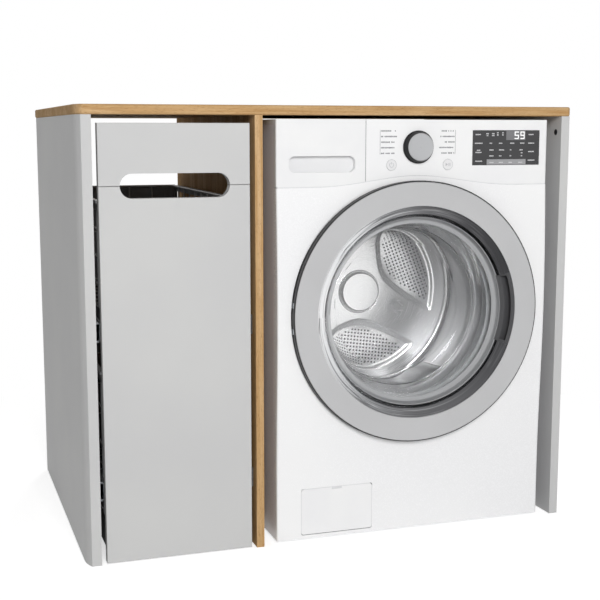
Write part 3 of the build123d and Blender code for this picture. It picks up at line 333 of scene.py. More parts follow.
# %% Floor
FLOOR_REACH, FLOOR_DROP, FLOOR_GLOW = 40.0, 0.4 * MM, 0.6
SHADOW_TO, WHITE_FROM = 0.75, 1.5
floor_mesh = bpy.data.meshes.new("floor")
floor_mesh.from_pydata([(x * FLOOR_REACH, y * FLOOR_REACH, -FLOOR_DROP)
                        for x, y in ((-1, -1), (1, -1), (1, 1), (-1, 1))], [], [(0, 1, 2, 3)])
floor = bpy.data.objects.new("floor", floor_mesh)
scene.collection.objects.link(floor)
floor_paint = Finish("pale floor", {"Base Color": tint("EDEDED"), "Roughness": 0.8,
                                    "Specular IOR Level": 0.1})
spot_x, spot_y, _ = floor_paint.along(floor_paint.place())
away = (spot_x * spot_x + spot_y * spot_y) ** 0.5
seen = seen_directly(floor_paint)
glow = floor_paint.node("ShaderNodeEmission", None, {"Color": WHITE, "Strength": seen * FLOOR_GLOW})
lit = floor_paint.node("ShaderNodeAddShader", None, {0: floor_paint.surface(), 1: glow})
white = floor_paint.node("ShaderNodeEmission", None, {"Color": WHITE, "Strength": 1.0})
far_share = seen * floor_paint.step(away, SHADOW_TO, WHITE_FROM)
floor_paint.end_in(floor_paint.node("ShaderNodeMixShader", None, {0: far_share, 1: lit, 2: white}))
floor.data.materials.append(floor_paint.material)
print("floor is white from %.1f m outwards" % WHITE_FROM)

# %% [markdown]
# ## Oak boards
# The worktop and the divider are oak. Cut along the trunk, oak shows long bands from the growth
# rings, fine fibres between them and short dark pores. Three noises stretched along the grain
# give these. The grain runs along the worktop, and up the divider, so one function takes the turn.

# %% Oak
BANDS, FIBRES, PORES = (0.55, 0.05, 0.05), (0.16, 0.0022, 0.0022), (0.011, 0.0006, 0.0006)


def oak_boards(name, turn, seed):
    oak = Finish(name, {"Specular IOR Level": 0.03})
    bands = oak.noise(oak.place(BANDS, (seed, seed, 0), turn), 3.0, 0.55, 0.6)
    rings = oak.step(bands.math("FRACT", bands * 7.0), 0.05, 0.95)
    fibre = oak.noise(oak.place(FIBRES, (seed, 0, 0), turn), 4.0, 0.62)
    pores = oak.noise(oak.place(PORES, (0, seed, 0), turn), 1.0)
    pore = oak.step(pores, 0.60, 0.70)
    oak.set("Base Color", oak.mottle(bands, "D2B086", "B99160", 0.32, 0.68))
    oak.stain(rings * 0.38, "A57A47")
    oak.stain(oak.step(fibre, 0.35, 0.70) * 0.5, "DABD92")
    oak.stain(pore * 0.55, "7C5529")
    oak.set("Roughness", 0.55 + fibre * 0.16 + pore * 0.1)
    oak.bump(fibre * 0.5 - pore, 0.12 * MM, 0.6)
    return oak


dress(oak_boards("oak along the worktop", (0, 0, 0), 0.3), "worktop")
dress(oak_boards("oak up the divider", (0, -pi / 2, 0), 1.7), "divider_panel")

# %% [markdown]
# ## Sprayed coats
# The grey panels and the white machine are both sprayed, and a sprayed coat is never quite flat:
# it dries with a faint orange peel, waves about a millimetre across and a few microns high. A coat
# over board is satin, baked enamel on steel is glossier with longer waves.

# %% Grey lacquer and white enamel


def sprayed_coat(name, colour, deeper, wave, gloss, shine, coat):
    paint = Finish(name, {"Specular IOR Level": shine, "Coat Weight": coat, "Coat Roughness": 0.12})
    cloud, peel = paint.grain(0.35), paint.grain(wave, 2.0, 0.45)
    paint.set("Base Color", paint.mottle(cloud, colour, deeper))
    paint.set("Roughness", gloss + (peel - 0.5) * 0.12 + (cloud - 0.5) * 0.06)
    paint.bump(peel, 0.05 * MM, 0.35)
    return paint


dress(sprayed_coat("grey satin lacquer", "CCCCCB", "C8C8C8", 1.3 * MM, 0.46, 0.15, 0.0),
      "left_side_panel", "right_side_panel", "rear_rails", "hamper_front_lower", "hamper_front_upper")
dress(sprayed_coat("white baked enamel", "F5F5F5", "F2F2F3", 2.6 * MM, 0.26, 0.45, 0.15),
      "washer_top", "washer_front_panel")
# The case's enamel is the front's white made cooler and darker: painted shade for the machine's sides.
dress(sprayed_coat("cool white enamel on the case", "E8E7EC", "E4E3E8", 2.6 * MM, 0.3, 0.45, 0.1),
      "washer_wrap", "washer_rear_cover")

# %% [markdown]
# ## Moulded plastics
# Moulded parts copy the fine texture that is etched into the mould, and thick parts cool with a
# faint cloudiness. One function makes them all, from the white control panel to the dark frame of
# the door, with the grain's size and the gloss as its inputs. The drawer's front gets painted shade
# that deepens with depth, so that its grip scoop shows.

# %% White, grey and dark plastic


def moulded(name, colour, deeper, grain, gloss, depth=0.03 * MM):
    plastic = Finish(name, {"Specular IOR Level": 0.5})
    etched, cloud = plastic.grain(grain, 2.0, 0.6), plastic.grain(0.09, 3.0)
    plastic.set("Base Color", plastic.mottle(cloud, colour, deeper))
    plastic.set("Roughness", gloss + (etched - 0.5) * 0.2)
    plastic.bump(etched, depth, 0.5)
    return plastic


white_plastic = moulded("white moulded plastic", "E9E9E9", "E5E5E6", 0.5 * MM, 0.36)
dress(white_plastic, "power_button", "start_button", "inlet_valve")
dress(moulded("bright white plastic", "F2F2F2", "EFEFF0", 0.5 * MM, 0.36),
      "control_fascia", "filter_flap")
grey_plastic = moulded("grey filled plastic", "A2A4A6", "94979A", 0.9 * MM, 0.5, 0.08 * MM)
dress(grey_plastic, "drawer_tray", "drawer_housing", "door_retainer", "tub_front", "tub_rear",
      "drain_pump", "drain_outlet")
dress(moulded("dark moulded plastic", "1F1F21", "19191B", 0.6 * MM, 0.46),
      "door_frame", "door_lock", "tub_dampers", "filter_cap")
dress(moulded("dark grey plastic of the grip", "5C5C5E", "555557", 0.6 * MM, 0.4), "door_grip")

# %% Plastic of the drawer, with painted shade in the scoop
SCOOP_SHADE_FROM, SCOOP_SHADE_TO = 1.5 * MM, 14 * MM
drawer_plastic = moulded("white plastic of the drawer", "EFEFEF", "EBEBEC", 0.5 * MM, 0.36)
drawer_face = drawer_plastic.place((1, 1, 1), (0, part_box("drawer_front")[0].y, 0))
into = drawer_plastic.along(drawer_face)[1]
# Painted shade: the scoop's colour darkens with depth behind the front.
drawer_plastic.stain(drawer_plastic.step(into, SCOOP_SHADE_FROM, SCOOP_SHADE_TO) * 0.3, "C4C4C7")
dress(drawer_plastic, "drawer_front")

# %% [markdown]
# ## Silver paint on the door ring and the knob
# The wide ring round the door and the face of the knob are plastic with a silver paint. Tiny
# flakes lie at slightly different angles in it, so it glitters very finely and looks even from
# afar. Cells of a Voronoi texture, each with its own shade, stand for the flakes. The knob's
# skirt is dark, so the distance from its axis sets where the silver ends.

# %% Silver paint
FLAKE = 0.45 * MM


def silver_paint(name, colour, deeper, gloss, glitter):
    paint = Finish(name, {"Metallic": 0.3, "Specular IOR Level": 0.35})
    shine = paint.along(paint.cells(FLAKE, "Color"))[0]
    paint.set("Base Color", paint.mottle(paint.grain(0.2), colour, deeper))
    paint.stain(shine * glitter, "DCDDDF")
    paint.set("Roughness", gloss + (shine - 0.5) * 0.16)
    return paint


dress(silver_paint("silver paint on the door ring", "C1C1C2", "BDBDBE", 0.46, 0.14), "door_ring")

# %% Two-tone knob
SKIRT_FROM, SKIRT_TO = 31.5 * MM, 32.2 * MM
knob_silver = silver_paint("silver knob with a dark skirt", "BCBDBF", "B5B6B8", 0.48, 0.1)
reach = knob_silver.round_axis(knob_axis)[3]
knob_silver.stain(knob_silver.step(reach, SKIRT_FROM, SKIRT_TO), "202022")
dress(knob_silver, "program_knob")

# %% [markdown]
# ## Metals
# The funnel inside the door is one plated moulding. Its base colour carries a painted reflection
# of the room in long bent streaks: painted bright on the left, where it faces the light, and
# painted dark on the right. Round the grip for the hand the moulding is bare dark plastic. The
# angle round the door's axis sets the painted tone, and a noise drawn out along the circle sets the
# painted streaks. The drum is stainless steel that was spun and polished round its axis: its fine
# lines run in circles. Brackets and runners are zinc plated, with the crystal patches that zinc
# sets in. The arms behind the drum are cast aluminium with a sandy skin, and the hamper's frame
# and wires have a smooth coat over steel.

# %% Plated funnel of the door
GRIP_SPREAD, GRIP_SOFT = radians(20.5), 0.008
LIP_OUTER, LIP_INNER = 225.3 * MM, 223.8 * MM
STREAK = 3.2 * MM
PAINTED_REFLECTION_TONES = [(-180, "F0F0F1"), (-150, "D8D9DB"), (-122, "8E8F91"), (-92, "727274"), (-50, "58585A"),
         (-15, "444446"), (30, "404042"), (60, "4A4A4C"), (88, "6A6A6C"), (112, "98999B"),
         (135, "E2E3E5"), (180, "F0F0F1")]
chrome = Finish("plated door funnel", {"Specular IOR Level": 0.5})
cx, _, cz, from_axis = chrome.round_axis(door_axis)
bearing = cx.math("ARCTAN2", cz, cx)
streak = chrome.noise(chrome.bring(from_axis / STREAK, bearing * 1.1, 0.0), 2.0, 0.55, 0.9)
lit_side = chrome.step(abs(bearing), radians(55), radians(110))
painted_dark_streak = chrome.step(streak, 0.54, 0.60) * (0.10 + lit_side * 0.55)
painted_bright_streak = chrome.step(streak, 0.42, 0.37) * (0.05 + lit_side * 0.3)
inner_lip = chrome.step(from_axis, LIP_OUTER, LIP_INNER)
grip = chrome.step(abs(bearing), GRIP_SPREAD + GRIP_SOFT, GRIP_SPREAD - GRIP_SOFT)
bare = grip * (1.0 - inner_lip)
print("plating leaves %.0f degrees bare round the grip" % np.degrees(2 * GRIP_SPREAD))

# %% Painted reflection tones and gloss of the funnel
# Painted reflection: the tone by angle round the axis, light where the plating faces the lit room.
painted_reflection_stops = [(degrees / 360 + 0.5, tint(colour)) for degrees, colour in PAINTED_REFLECTION_TONES]
chrome.set("Base Color", chrome.node("ShaderNodeValToRGB", {"stops": painted_reflection_stops},
                                     {"Fac": bearing / (2 * pi) + 0.5}))
# Painted reflection streaks, dark and bright, laid into the base colour.
chrome.stain(painted_dark_streak, "4A4A4C")
chrome.stain(painted_bright_streak, "F2F3F4")
chrome.stain(inner_lip * 0.75, "B4B5B7")
chrome.stain(bare, "464648")
left = chrome.step(abs(bearing), radians(110), radians(150))
chrome.set("Metallic", (1.0 - inner_lip * 0.7 - left * 0.3) * (1.0 - bare))
chrome.set("Roughness", 0.06 + streak * 0.1 + bare * 0.3)
dress(chrome, "door_bezel")

# %% Stainless steel, brushed in circles
BRUSH = 0.9 * MM


def spun_steel(name, colour, deeper, gloss, metal):
    sheet = Finish(name, {"Metallic": metal, "Specular IOR Level": 0.5})
    sx, sy, sz, radius = sheet.round_axis(door_axis)
    around = sx.math("ARCTAN2", sz, sx)
    lines = sheet.noise(sheet.bring(radius / BRUSH, sy / BRUSH, around * 1.5), 3.0, 0.6)
    sheet.set("Base Color", sheet.mottle(lines, colour, deeper))
    sheet.set("Roughness", gloss + (lines - 0.5) * 0.14 + (sheet.grain(0.12) - 0.5) * 0.08)
    sheet.bump(lines, 0.008 * MM, 0.25)
    return sheet


steel = spun_steel("polished stainless steel", "FDFDFD", "F5F5F6", 0.25, 0.86)
dress(steel, "drum_rear")
rolled_steel = spun_steel("rolled stainless steel", "BABABC", "B0B0B2", 0.5, 0.4)
dress(rolled_steel, "drum_shell", "drum_lifters", "main_bearings")

# %% Zinc plate
zinc = Finish("zinc plate", {"Metallic": 1.0})
patch = zinc.along(zinc.cells(5 * MM, "Color"))[0]
zinc.set("Base Color", zinc.blend(patch, tint("B9BDC1"), tint("A4A9AE")))
zinc.set("Roughness", 0.34 + patch * 0.16)
zinc.bump(patch, 0.02 * MM, 0.3)
dress(zinc, "runner_cabinet_members", "runner_middle_members", "runner_drawer_members",
      "front_joiners", "washer_base_pan", "door_latch_hook", "door_hinge_bracket",
      "suspension_springs")

# %% Cast aluminium
cast = Finish("cast aluminium", {"Metallic": 1.0})
skin = cast.grain(1.6 * MM, 4.0, 0.65)
cast.set("Base Color", cast.mottle(skin, "C3C5C7", "A9ABAE"))
cast.set("Roughness", 0.42 + skin * 0.2)
cast.bump(skin, 0.12 * MM, 0.6)
dress(cast, "drum_spider")

# %% Coated steel
dress(moulded("burnished connector", "262628", "2E2E30", 0.8 * MM, 0.4), "panel_connectors")
dress(moulded("dark powder coat", "7E7E80", "747476", 0.9 * MM, 0.52, 0.08 * MM),
      "hamper_side_rails", "hamper_uprights", "hamper_base_plate", "hamper_rear_plate")
wire_coat = moulded("pale grey wire coat", "B4B5B6", "A8A9AB", 1.1 * MM, 0.34, 0.05 * MM)
dress(wire_coat, "basket_upper", "basket_lower")

# %% [markdown]
# ## Glass, rubber, concrete and the motor
# The bowl of the door is clear pressed glass. A lamp's light would stop at it, because a ray that
# bends through glass rarely finds the lamp again, so light on its way to the drum is let straight
# through. The display is smoked glass with a hard shine. The rubber is dusty, the counterweight is
# concrete with stones and pits, the motor's iron is a stack of thin sheets, and the control board
# is green with fine tracks.

# %% Clear glass bowl
glass = Finish("clear pressed glass", {"Transmission Weight": 1.0, "IOR": 1.45, "Base Color": WHITE})
glass.set("Roughness", glass.step(glass.grain(0.06, 3.0, 0.6), 0.45, 0.75, 0.0, 0.03))
path = glass.node("ShaderNodeLightPath", output="Is Shadow Ray")
through = path.math("MAXIMUM", path, path.also("Is Diffuse Ray"))
open_air = glass.node("ShaderNodeBsdfTransparent", None, {"Color": (0.97, 0.98, 0.98, 1)})
glass.end_in(glass.node("ShaderNodeMixShader", None, {0: through, 1: glass.surface(), 2: open_air}))
dress(glass, "door_glass")

# %% Smoked display glass
smoked = Finish("smoked display glass", {"Specular IOR Level": 0.5, "Coat Weight": 0.4,
                                         "Coat Roughness": 0.05})
veil = smoked.grain(0.08)
smoked.set("Base Color", smoked.mottle(veil, "2C2C2E", "262628"))
smoked.set("Roughness", 0.12 + veil * 0.08)
dress(smoked, "display_window")

# %% Rubber


def rubber(name, colour, deeper):
    skin = Finish(name, {"Specular IOR Level": 0.35})
    dust, pores = skin.grain(0.03, 4.0, 0.6), skin.grain(0.7 * MM)
    skin.set("Base Color", skin.mottle(dust, colour, deeper, 0.35, 0.7))
    skin.set("Roughness", 0.55 + pores * 0.2)
    skin.bump(pores, 0.05 * MM, 0.5)
    return skin


dress(rubber("grey door rubber", "CACBCD", "BDBEC0"), "door_gasket")
dress(rubber("black foot rubber", "1E1E1F", "2A2A2A"), "washer_feet")

# %% Concrete
concrete = Finish("cast concrete", {"Specular IOR Level": 0.25})
sand = concrete.grain(2 * MM, 5.0, 0.7)
pits = concrete.step(concrete.cells(17 * MM), 0.16, 0.1)
stones = concrete.cells(9 * MM) + sand * 0.5
concrete.set("Base Color", concrete.mottle(stones, "A5A29B", "8B8880", 0.3, 0.9))
concrete.set("Roughness", 0.82 + sand * 0.1)
concrete.bump(sand * 0.4 - pits, 0.8 * MM, 0.7)
dress(concrete, "counterweight")

# %% Motor iron
IRON_SHEET = 1.4 * MM
iron = Finish("stacked motor iron", {"Metallic": 0.8})
deep = iron.along(iron.place())[1]
oil = iron.grain(0.02, 3.0)
iron.set("Base Color", iron.blend(oil, tint("6A6A6C"), tint("55565A")))
iron.set("Roughness", 0.4 + oil * 0.15)
iron.bump(deep.math("SINE", deep * (2 * pi / IRON_SHEET)), 0.1 * MM, 0.5)
dress(iron, "motor_stator", "motor_rotor")

# %% Circuit board
board = Finish("green circuit board", {"Specular IOR Level": 0.5})
lane = board.noise(board.place((14 * MM, 14 * MM, 2.5 * MM)), 0.0)
trace = board.step(abs(lane.math("FRACT", lane * 9.0) - 0.5), 0.18, 0.24)
board.set("Base Color", board.blend(trace, tint("3F7A4A"), tint("245A34")))
board.set("Roughness", 0.3 + trace * 0.15)
board.bump(trace, -0.05 * MM, 0.5)
dress(board, "control_board")

# %% [markdown]
# ## What every added piece needs
# Wires, holes, marks and screws repeat, so Geometry Nodes grow them. Each tree gets its sizes as
# named inputs. It ends in real faces with a finish on them, and the result is kept as a plain
# mesh, because a finished piece should not depend on its tree any more. Every piece then rides on
# the body that carries it.

# %% Settle a piece on its body


def settle(piece, body, slot, *solids):
    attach(piece, body)
    if solids:
        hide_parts(*solids)
    return piece


def add_piece(mesh, finish, body, slot, *solids):
    mesh.materials.append(finish.material)
    piece = bpy.data.objects.new(mesh.name, mesh)
    scene.collection.objects.link(piece)
    print("%s: %d faces" % (mesh.name, len(mesh.polygons)))
    return settle(piece, body, slot, *solids)


def closed_mesh(name, work):
    bmesh.ops.recalc_face_normals(work, faces=work.faces)
    mesh = bpy.data.meshes.new(name)
    work.to_mesh(mesh)
    work.free()
    return mesh


def facing_front(x, y, z):
    return Matrix.Translation((x, y, z)) @ Matrix.Rotation(pi / 2, 4, "X")


# %% Shapes for patterns


class Shapes(Graph):
    def index(self):
        return self.node("GeometryNodeInputIndex")

    def row(self, count, start, step):
        return self.node("GeometryNodeMeshLine", {"mode": "OFFSET"},
                         {"Count": count, "Start Location": start, "Offset": step})

    def grid(self, columns, rows, wide, high):
        return self.node("GeometryNodeMeshGrid", None, {
            "Size X": wide * (columns - 1), "Size Y": high * (rows - 1),
            "Vertices X": columns, "Vertices Y": rows})

    def block(self, x, y, z):
        return self.node("GeometryNodeMeshCube", None, {"Size": self.bring(x, y, z)})

    def circle(self, radius, corners):
        return self.node("GeometryNodeCurvePrimitiveCircle", None,
                         {"Resolution": corners, "Radius": radius})

    def rounded(self, curve, corner, steps):
        return self.node("GeometryNodeFilletCurve", {"mode": "POLY"}, {
            "Curve": curve, "Count": steps, "Radius": corner, "Limit Radius": True})

    def tube(self, curve, radius, sides=8, closed=False):
        made = self.node("GeometryNodeCurveToMesh", None, {
            "Curve": curve, "Profile Curve": self.circle(radius, sides), "Fill Caps": not closed})
        return self.node("GeometryNodeSetShadeSmooth", None, {"Geometry": made, "Shade Smooth": True})

    def spread(self, points, shape, turn=(0, 0, 0), scale=(1, 1, 1)):
        return self.node("GeometryNodeInstanceOnPoints", None, {
            "Points": points, "Instance": shape, "Rotation": turn, "Scale": scale})

    def move(self, shape, place=(0, 0, 0), turn=(0, 0, 0), scale=(1, 1, 1)):
        return self.node("GeometryNodeTransform", None, {
            "Geometry": shape, "Translation": place, "Rotation": turn, "Scale": scale})

    def without(self, shape, selection):
        return self.node("GeometryNodeDeleteGeometry", {"domain": "POINT"},
                         {"Geometry": shape, "Selection": selection})

    def both(self, *shapes):
        return self.node("GeometryNodeJoinGeometry", None, {"Geometry": list(shapes)})


# %% A pattern that grows into a plain mesh


class Pattern(Shapes):
    def __init__(self, name, **sizes):
        super().__init__(bpy.data.node_groups.new(name, "GeometryNodeTree"))
        kinds = {int: "NodeSocketInt", float: "NodeSocketFloat"}
        self.values = {}
        for label, value in sizes.items():
            socket = self.tree.interface.new_socket(label, in_out="INPUT",
                                                    socket_type=kinds[type(value)])
            self.values[socket.identifier] = value
        self.tree.interface.new_socket("Piece", in_out="OUTPUT", socket_type="NodeSocketGeometry")
        entry = self.tree.nodes.new("NodeGroupInput")
        self.size = {label: Link(self, entry.outputs[label]) for label in sizes}

    def chance(self, low, high, order):
        return self.node("FunctionNodeRandomValue", {"data_type": "FLOAT"},
                         {2: low, 3: high, "ID": order, "Seed": self.size["seed"]}, 1)

    def grow(self, name, parts, place):
        layers = []
        for finish, shape in parts:
            real = self.node("GeometryNodeRealizeInstances", None, {"Geometry": shape})
            layers.append(self.node("GeometryNodeSetMaterial", None, {
                "Geometry": real, "Material": finish.material}))
        exit_node = self.tree.nodes.new("NodeGroupOutput")
        self.feed(exit_node.inputs["Piece"], self.both(*layers) if len(layers) > 1 else layers[0])
        piece = bpy.data.objects.new(name, bpy.data.meshes.new(name + " seed"))
        scene.collection.objects.link(piece)
        growth = piece.modifiers.new("growth", "NODES")
        growth.node_group = self.tree
        for identifier, value in self.values.items():
            growth[identifier] = value
        grown = piece.evaluated_get(bpy.context.evaluated_depsgraph_get())
        mesh = bpy.data.meshes.new_from_object(grown)
        piece.modifiers.remove(growth)
        mesh.name = name
        piece.data = mesh
        mesh.transform(place)
        mesh.update()
        print("%s: %d faces" % (name, len(mesh.polygons)))
        return piece


# %% [markdown]
# ## The wire baskets
# Each basket is welded from round wire. U-shaped wires cross the basket from rim to rim and run
# its length, loops of the same wire tie them at three heights, and a thicker wire makes the rim. A
# flat strip along each long side rests on the hamper's rails. A solid with square wires is right
# for size, but only round wire catches the light in thin lines, so the tree bends a line of four
# points into a U, rounds its corners, gives it a round section and repeats it.

# %% Bent wires
WIRE, RIM_WIRE, BASKET_CORNER = 2.0 * MM, 3.0 * MM, 14 * MM
LONG_GAPS, CROSS_GAPS, LOOPS = 11, 5, 3
STRIP_WIDTH, STRIP_LENGTH, STRIP_THICK = 10.5 * MM, 670 * MM, 6 * MM


def bent_u(tree, half, depth, corner, radius):
    i = tree.index()
    side = (i > 1.5) * 2.0 - 1.0
    at_rim = abs(i - 1.5) > 1.0
    shaped = tree.node("GeometryNodeSetPosition", None, {
        "Geometry": tree.row(4, (0, 0, 0), (MM, 0, 0)),
        "Position": tree.bring(side * half, 0.0, (at_rim - 1.0) * depth)})
    path = tree.node("GeometryNodeMeshToCurve", None, {"Mesh": shaped})
    return tree.tube(tree.rounded(path, corner, 5), radius)


def loop_wire(tree, width, length, corner, radius):
    outline = tree.node("GeometryNodeCurvePrimitiveQuadrilateral", None,
                        {"Width": width, "Height": length})
    return tree.tube(tree.rounded(outline, corner, 6), radius, 10, True)


print("wire is %.0f mm thick, rim wire %.0f mm" % (2 * WIRE / MM, 2 * RIM_WIRE / MM))

# %% Baskets


def wire_basket(name, solid):
    low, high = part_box(solid)
    centre = (low + high) / 2
    tree = Pattern(name + " wires", half_width=(high.x - low.x) / 2 - STRIP_WIDTH + WIRE,
                   length=high.y - low.y - 2 * WIRE, depth=high.z - low.z - WIRE, wire=WIRE,
                   rim_wire=RIM_WIRE, corner=BASKET_CORNER, long_gaps=LONG_GAPS,
                   cross_gaps=CROSS_GAPS, loops=LOOPS, strip_width=STRIP_WIDTH,
                   strip_length=STRIP_LENGTH)
    s = tree.size
    half, length, depth = s["half_width"], s["length"], s["depth"]
    wire, corner, strip = s["wire"], s["corner"], s["strip_width"]
    step = length / s["long_gaps"]
    rib_spots = tree.row(s["long_gaps"] - 1, tree.bring(0.0, length * -0.5 + step),
                         tree.bring(0.0, step))
    ribs = tree.spread(rib_spots, bent_u(tree, half, depth, corner, wire))
    gap = half * 2.0 / s["cross_gaps"]
    run_spots = tree.row(s["cross_gaps"] - 1, tree.bring(half * -1.0 + gap), tree.bring(gap))
    lengthwise = bent_u(tree, length * 0.5, depth, corner, wire)
    runs = tree.spread(run_spots, tree.move(lengthwise, (0, 0, 0), (0, 0, pi / 2)))
    rim = loop_wire(tree, half * 2.0, length, corner, s["rim_wire"])
    fall = tree.bring(0.0, 0.0, depth / (s["loops"] + 1) * -1.0)
    ties = tree.spread(tree.row(s["loops"], fall, fall),
                       loop_wire(tree, half * 2.0, length, corner, wire))
    strip_spots = tree.row(2, tree.bring(half * -1.0 - strip * 0.5 + wire),
                           tree.bring(half * 2.0 + strip - wire * 2.0))
    strips = tree.spread(strip_spots, tree.block(strip, s["strip_length"], STRIP_THICK))
    piece = tree.grow(name, [(wire_coat, tree.both(ribs, runs, rim, ties, strips))],
                      Matrix.Translation((centre.x, centre.y, high.z - RIM_WIRE)))
    settle(piece, "hamper", "basket_wire", solid)


wire_basket("upper_basket_wire", "basket_upper")
wire_basket("lower_basket_wire", "basket_lower")

# %% [markdown]
# ## The rear wall of the drum
# Behind the glass, the drum's rear wall is one pressed sheet. Three leaf-shaped fields are sunk
# into it, and their floors rise a little towards the rim. The arms that stay between them meet at
# the hub and run out into a rim, and the rim rolls forward into the cylinder. A round cap covers
# the hub, with a fine groove round it and a second one round its foot. The shape follows a rule,
# its height at every radius and angle, so the mesh is a polar grid with that height worked out for
# each point. Its rings are closest where the sheet bends most, in the grooves and in the roll.

# %% Height of the pressed sheet
SHEET_GAP = 2.5 * MM
hub_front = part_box("drum_rear")[0].y
sheet_radius = half_size("drum_shell").x - SHEET_GAP
FIELD_DEPTH, ARM_DEPTH = 30 * MM, 12 * MM
ARM_EDGE, FIELD_EDGE, SOFT = 41 * MM, 58 * MM, 45 * MM
LEAF_FOOT, LEAF_TOP = 207 * MM, 220 * MM
FLOOR_RISE, RISE_FROM, RISE_TO = 0.55, 100 * MM, 207 * MM
ROLL = 14 * MM
FIELD_TURNS = [radians(a) for a in (30, 150, 270)]


def smooth(value, low, high):
    t = np.clip((value - low) / (high - low), 0.0, 1.0)
    return t * t * (3 - 2 * t)


def sheet_depth(radius, angle):
    nearest = np.min([np.abs((angle - t + pi) % (2 * pi) - pi) for t in FIELD_TURNS], axis=0)
    out, off = radius * np.cos(nearest), radius * np.sin(nearest)
    slope = out * sin(pi / 3) - np.sqrt(off ** 2 + SOFT ** 2) * cos(pi / 3)
    leaf = smooth(slope, ARM_EDGE, FIELD_EDGE) * (1.0 - smooth(radius, LEAF_FOOT, LEAF_TOP))
    rolled = np.clip(radius - (sheet_radius - ROLL), 0.0, ROLL)
    rise = ROLL - np.sqrt(np.maximum(ROLL ** 2 - rolled ** 2, 0.0))
    floor_rise = 1.0 - FLOOR_RISE * smooth(radius, RISE_FROM, RISE_TO)
    return ARM_DEPTH + (FIELD_DEPTH - ARM_DEPTH) * floor_rise * leaf - rise


print("rear wall reaches %.1f mm from the axis" % (sheet_radius / MM))

# %% Cap on the hub
CAP, CAP_FOOT = 49.2 * MM, 56.2 * MM
CAP_DOME, CAP_SIDE = 0.4 * MM, 1.0 * MM
GROOVE, GROOVE_CUT = 1.9 * MM, 2.6 * MM


def in_groove(radius, start):
    return np.abs(radius - start - GROOVE / 2) < GROOVE / 2


def hub_depth(radius, depth):
    side = CAP_SIDE + (depth - CAP_SIDE) * smooth(radius, CAP + GROOVE, CAP_FOOT)
    shape = np.where(radius < CAP, CAP_DOME * (radius / CAP) ** 2, side)
    cut = in_groove(radius, CAP) | in_groove(radius, CAP_FOOT)
    return np.where(radius > CAP_FOOT + GROOVE, depth, shape + GROOVE_CUT * cut)


print("cap is %.1f mm across" % (2 * CAP / MM))

# %% Polar mesh of the rear wall
SPOKES, FINE_FROM = 360, 239 * MM
hub_end = CAP_FOOT + GROOVE
ring_runs = [(2 * MM, CAP - 0.2 * MM, 12), (CAP - 0.05 * MM, hub_end + 0.05 * MM, 46),
             (hub_end + 0.9 * MM, FINE_FROM - MM, 90), (FINE_FROM, sheet_radius - 0.05 * MM, 34)]
radii = np.concatenate([np.linspace(*run) for run in ring_runs])
turns = np.arange(SPOKES) * 2 * pi / SPOKES
grid_r, grid_a = np.meshgrid(radii, turns, indexing="ij")
grid_y = hub_front + hub_depth(grid_r, sheet_depth(grid_r, grid_a))
points = np.stack([door_axis.x + grid_r * np.cos(grid_a), grid_y,
                   door_axis.z + grid_r * np.sin(grid_a)], axis=-1)
hub_point = len(radii) * SPOKES
verts = [tuple(p) for p in points.reshape(-1, 3)] + [(door_axis.x, hub_front, door_axis.z)]
pairs = [(s, (s + 1) % SPOKES) for s in range(SPOKES)]
faces = [(ring + s, ring + SPOKES + s, ring + SPOKES + t, ring + t)
         for ring in range(0, hub_point - SPOKES, SPOKES) for s, t in pairs]
faces += [(hub_point, s, t) for s, t in pairs]


def face_front(mesh):
    mesh.update()
    if sum(f.normal.y for f in mesh.polygons) > 0:
        mesh.flip_normals()


wall_mesh = bpy.data.meshes.new("drum_rear_wall")
wall_mesh.from_pydata(verts, [], faces)
wall_mesh.polygons.foreach_set("use_smooth", [True] * len(faces))
face_front(wall_mesh)
print("%d points in %d rings" % (len(verts), len(radii)))

# %% Painted shade in the grooves and on the roll, and the wall set in the drum
ROLL_SHADE_BEFORE, ROLL_SHADE_AFTER = 4 * MM, 3 * MM
from_hub = steel.round_axis(door_axis)[3]


def painted_groove_shade(start, share):
    off = abs(from_hub - (start + GROOVE / 2))
    return steel.step(off, GROOVE * 0.65, GROOVE * 0.35) * share


cap_groove_shade, foot_groove_shade = painted_groove_shade(CAP, 0.8), painted_groove_shade(CAP_FOOT, 0.5)
# Painted shade: dark lines in the two grooves round the cap.
steel.stain(cap_groove_shade.math("MAXIMUM", cap_groove_shade, foot_groove_shade), "6A6A6C")
roll_start = sheet_radius - ROLL
# Painted shade: the sheet darkens where it rolls into the cylinder, to damp its glints.
steel.stain(steel.step(from_hub, roll_start - ROLL_SHADE_BEFORE, roll_start + ROLL_SHADE_AFTER) * 0.7, "8A8A8C")
add_piece(wall_mesh, steel, "drum", "stainless", "drum_rear")

# %% [markdown]
# ## Perforations
# The three fields are pierced with small holes in rows. A grid of points covers a field, those
# that fall on a slope are taken away, the rest are lifted onto the rising floor, and on each of
# them a small dark disc, painted shade that stands for the hole, is set with a pressed lip round it.

# %% Perforated fields
# Dark discs as painted shade for the holes; the screws' crosses use them too.
painted_hole_shade = moulded("dark inside of the holes", "2C2C2E", "363638", 2 * MM, 0.6)
GRID_OUT, GRID_TURN = 120 * MM, radians(-8)
HOLE_EDGE, HOLE_LIMIT = FIELD_EDGE + 9 * MM, 203 * MM
HOLE_LIP, HOLE_LIP_WIRE, HOLE_CORNERS = 0.4 * MM, 0.35 * MM, 12


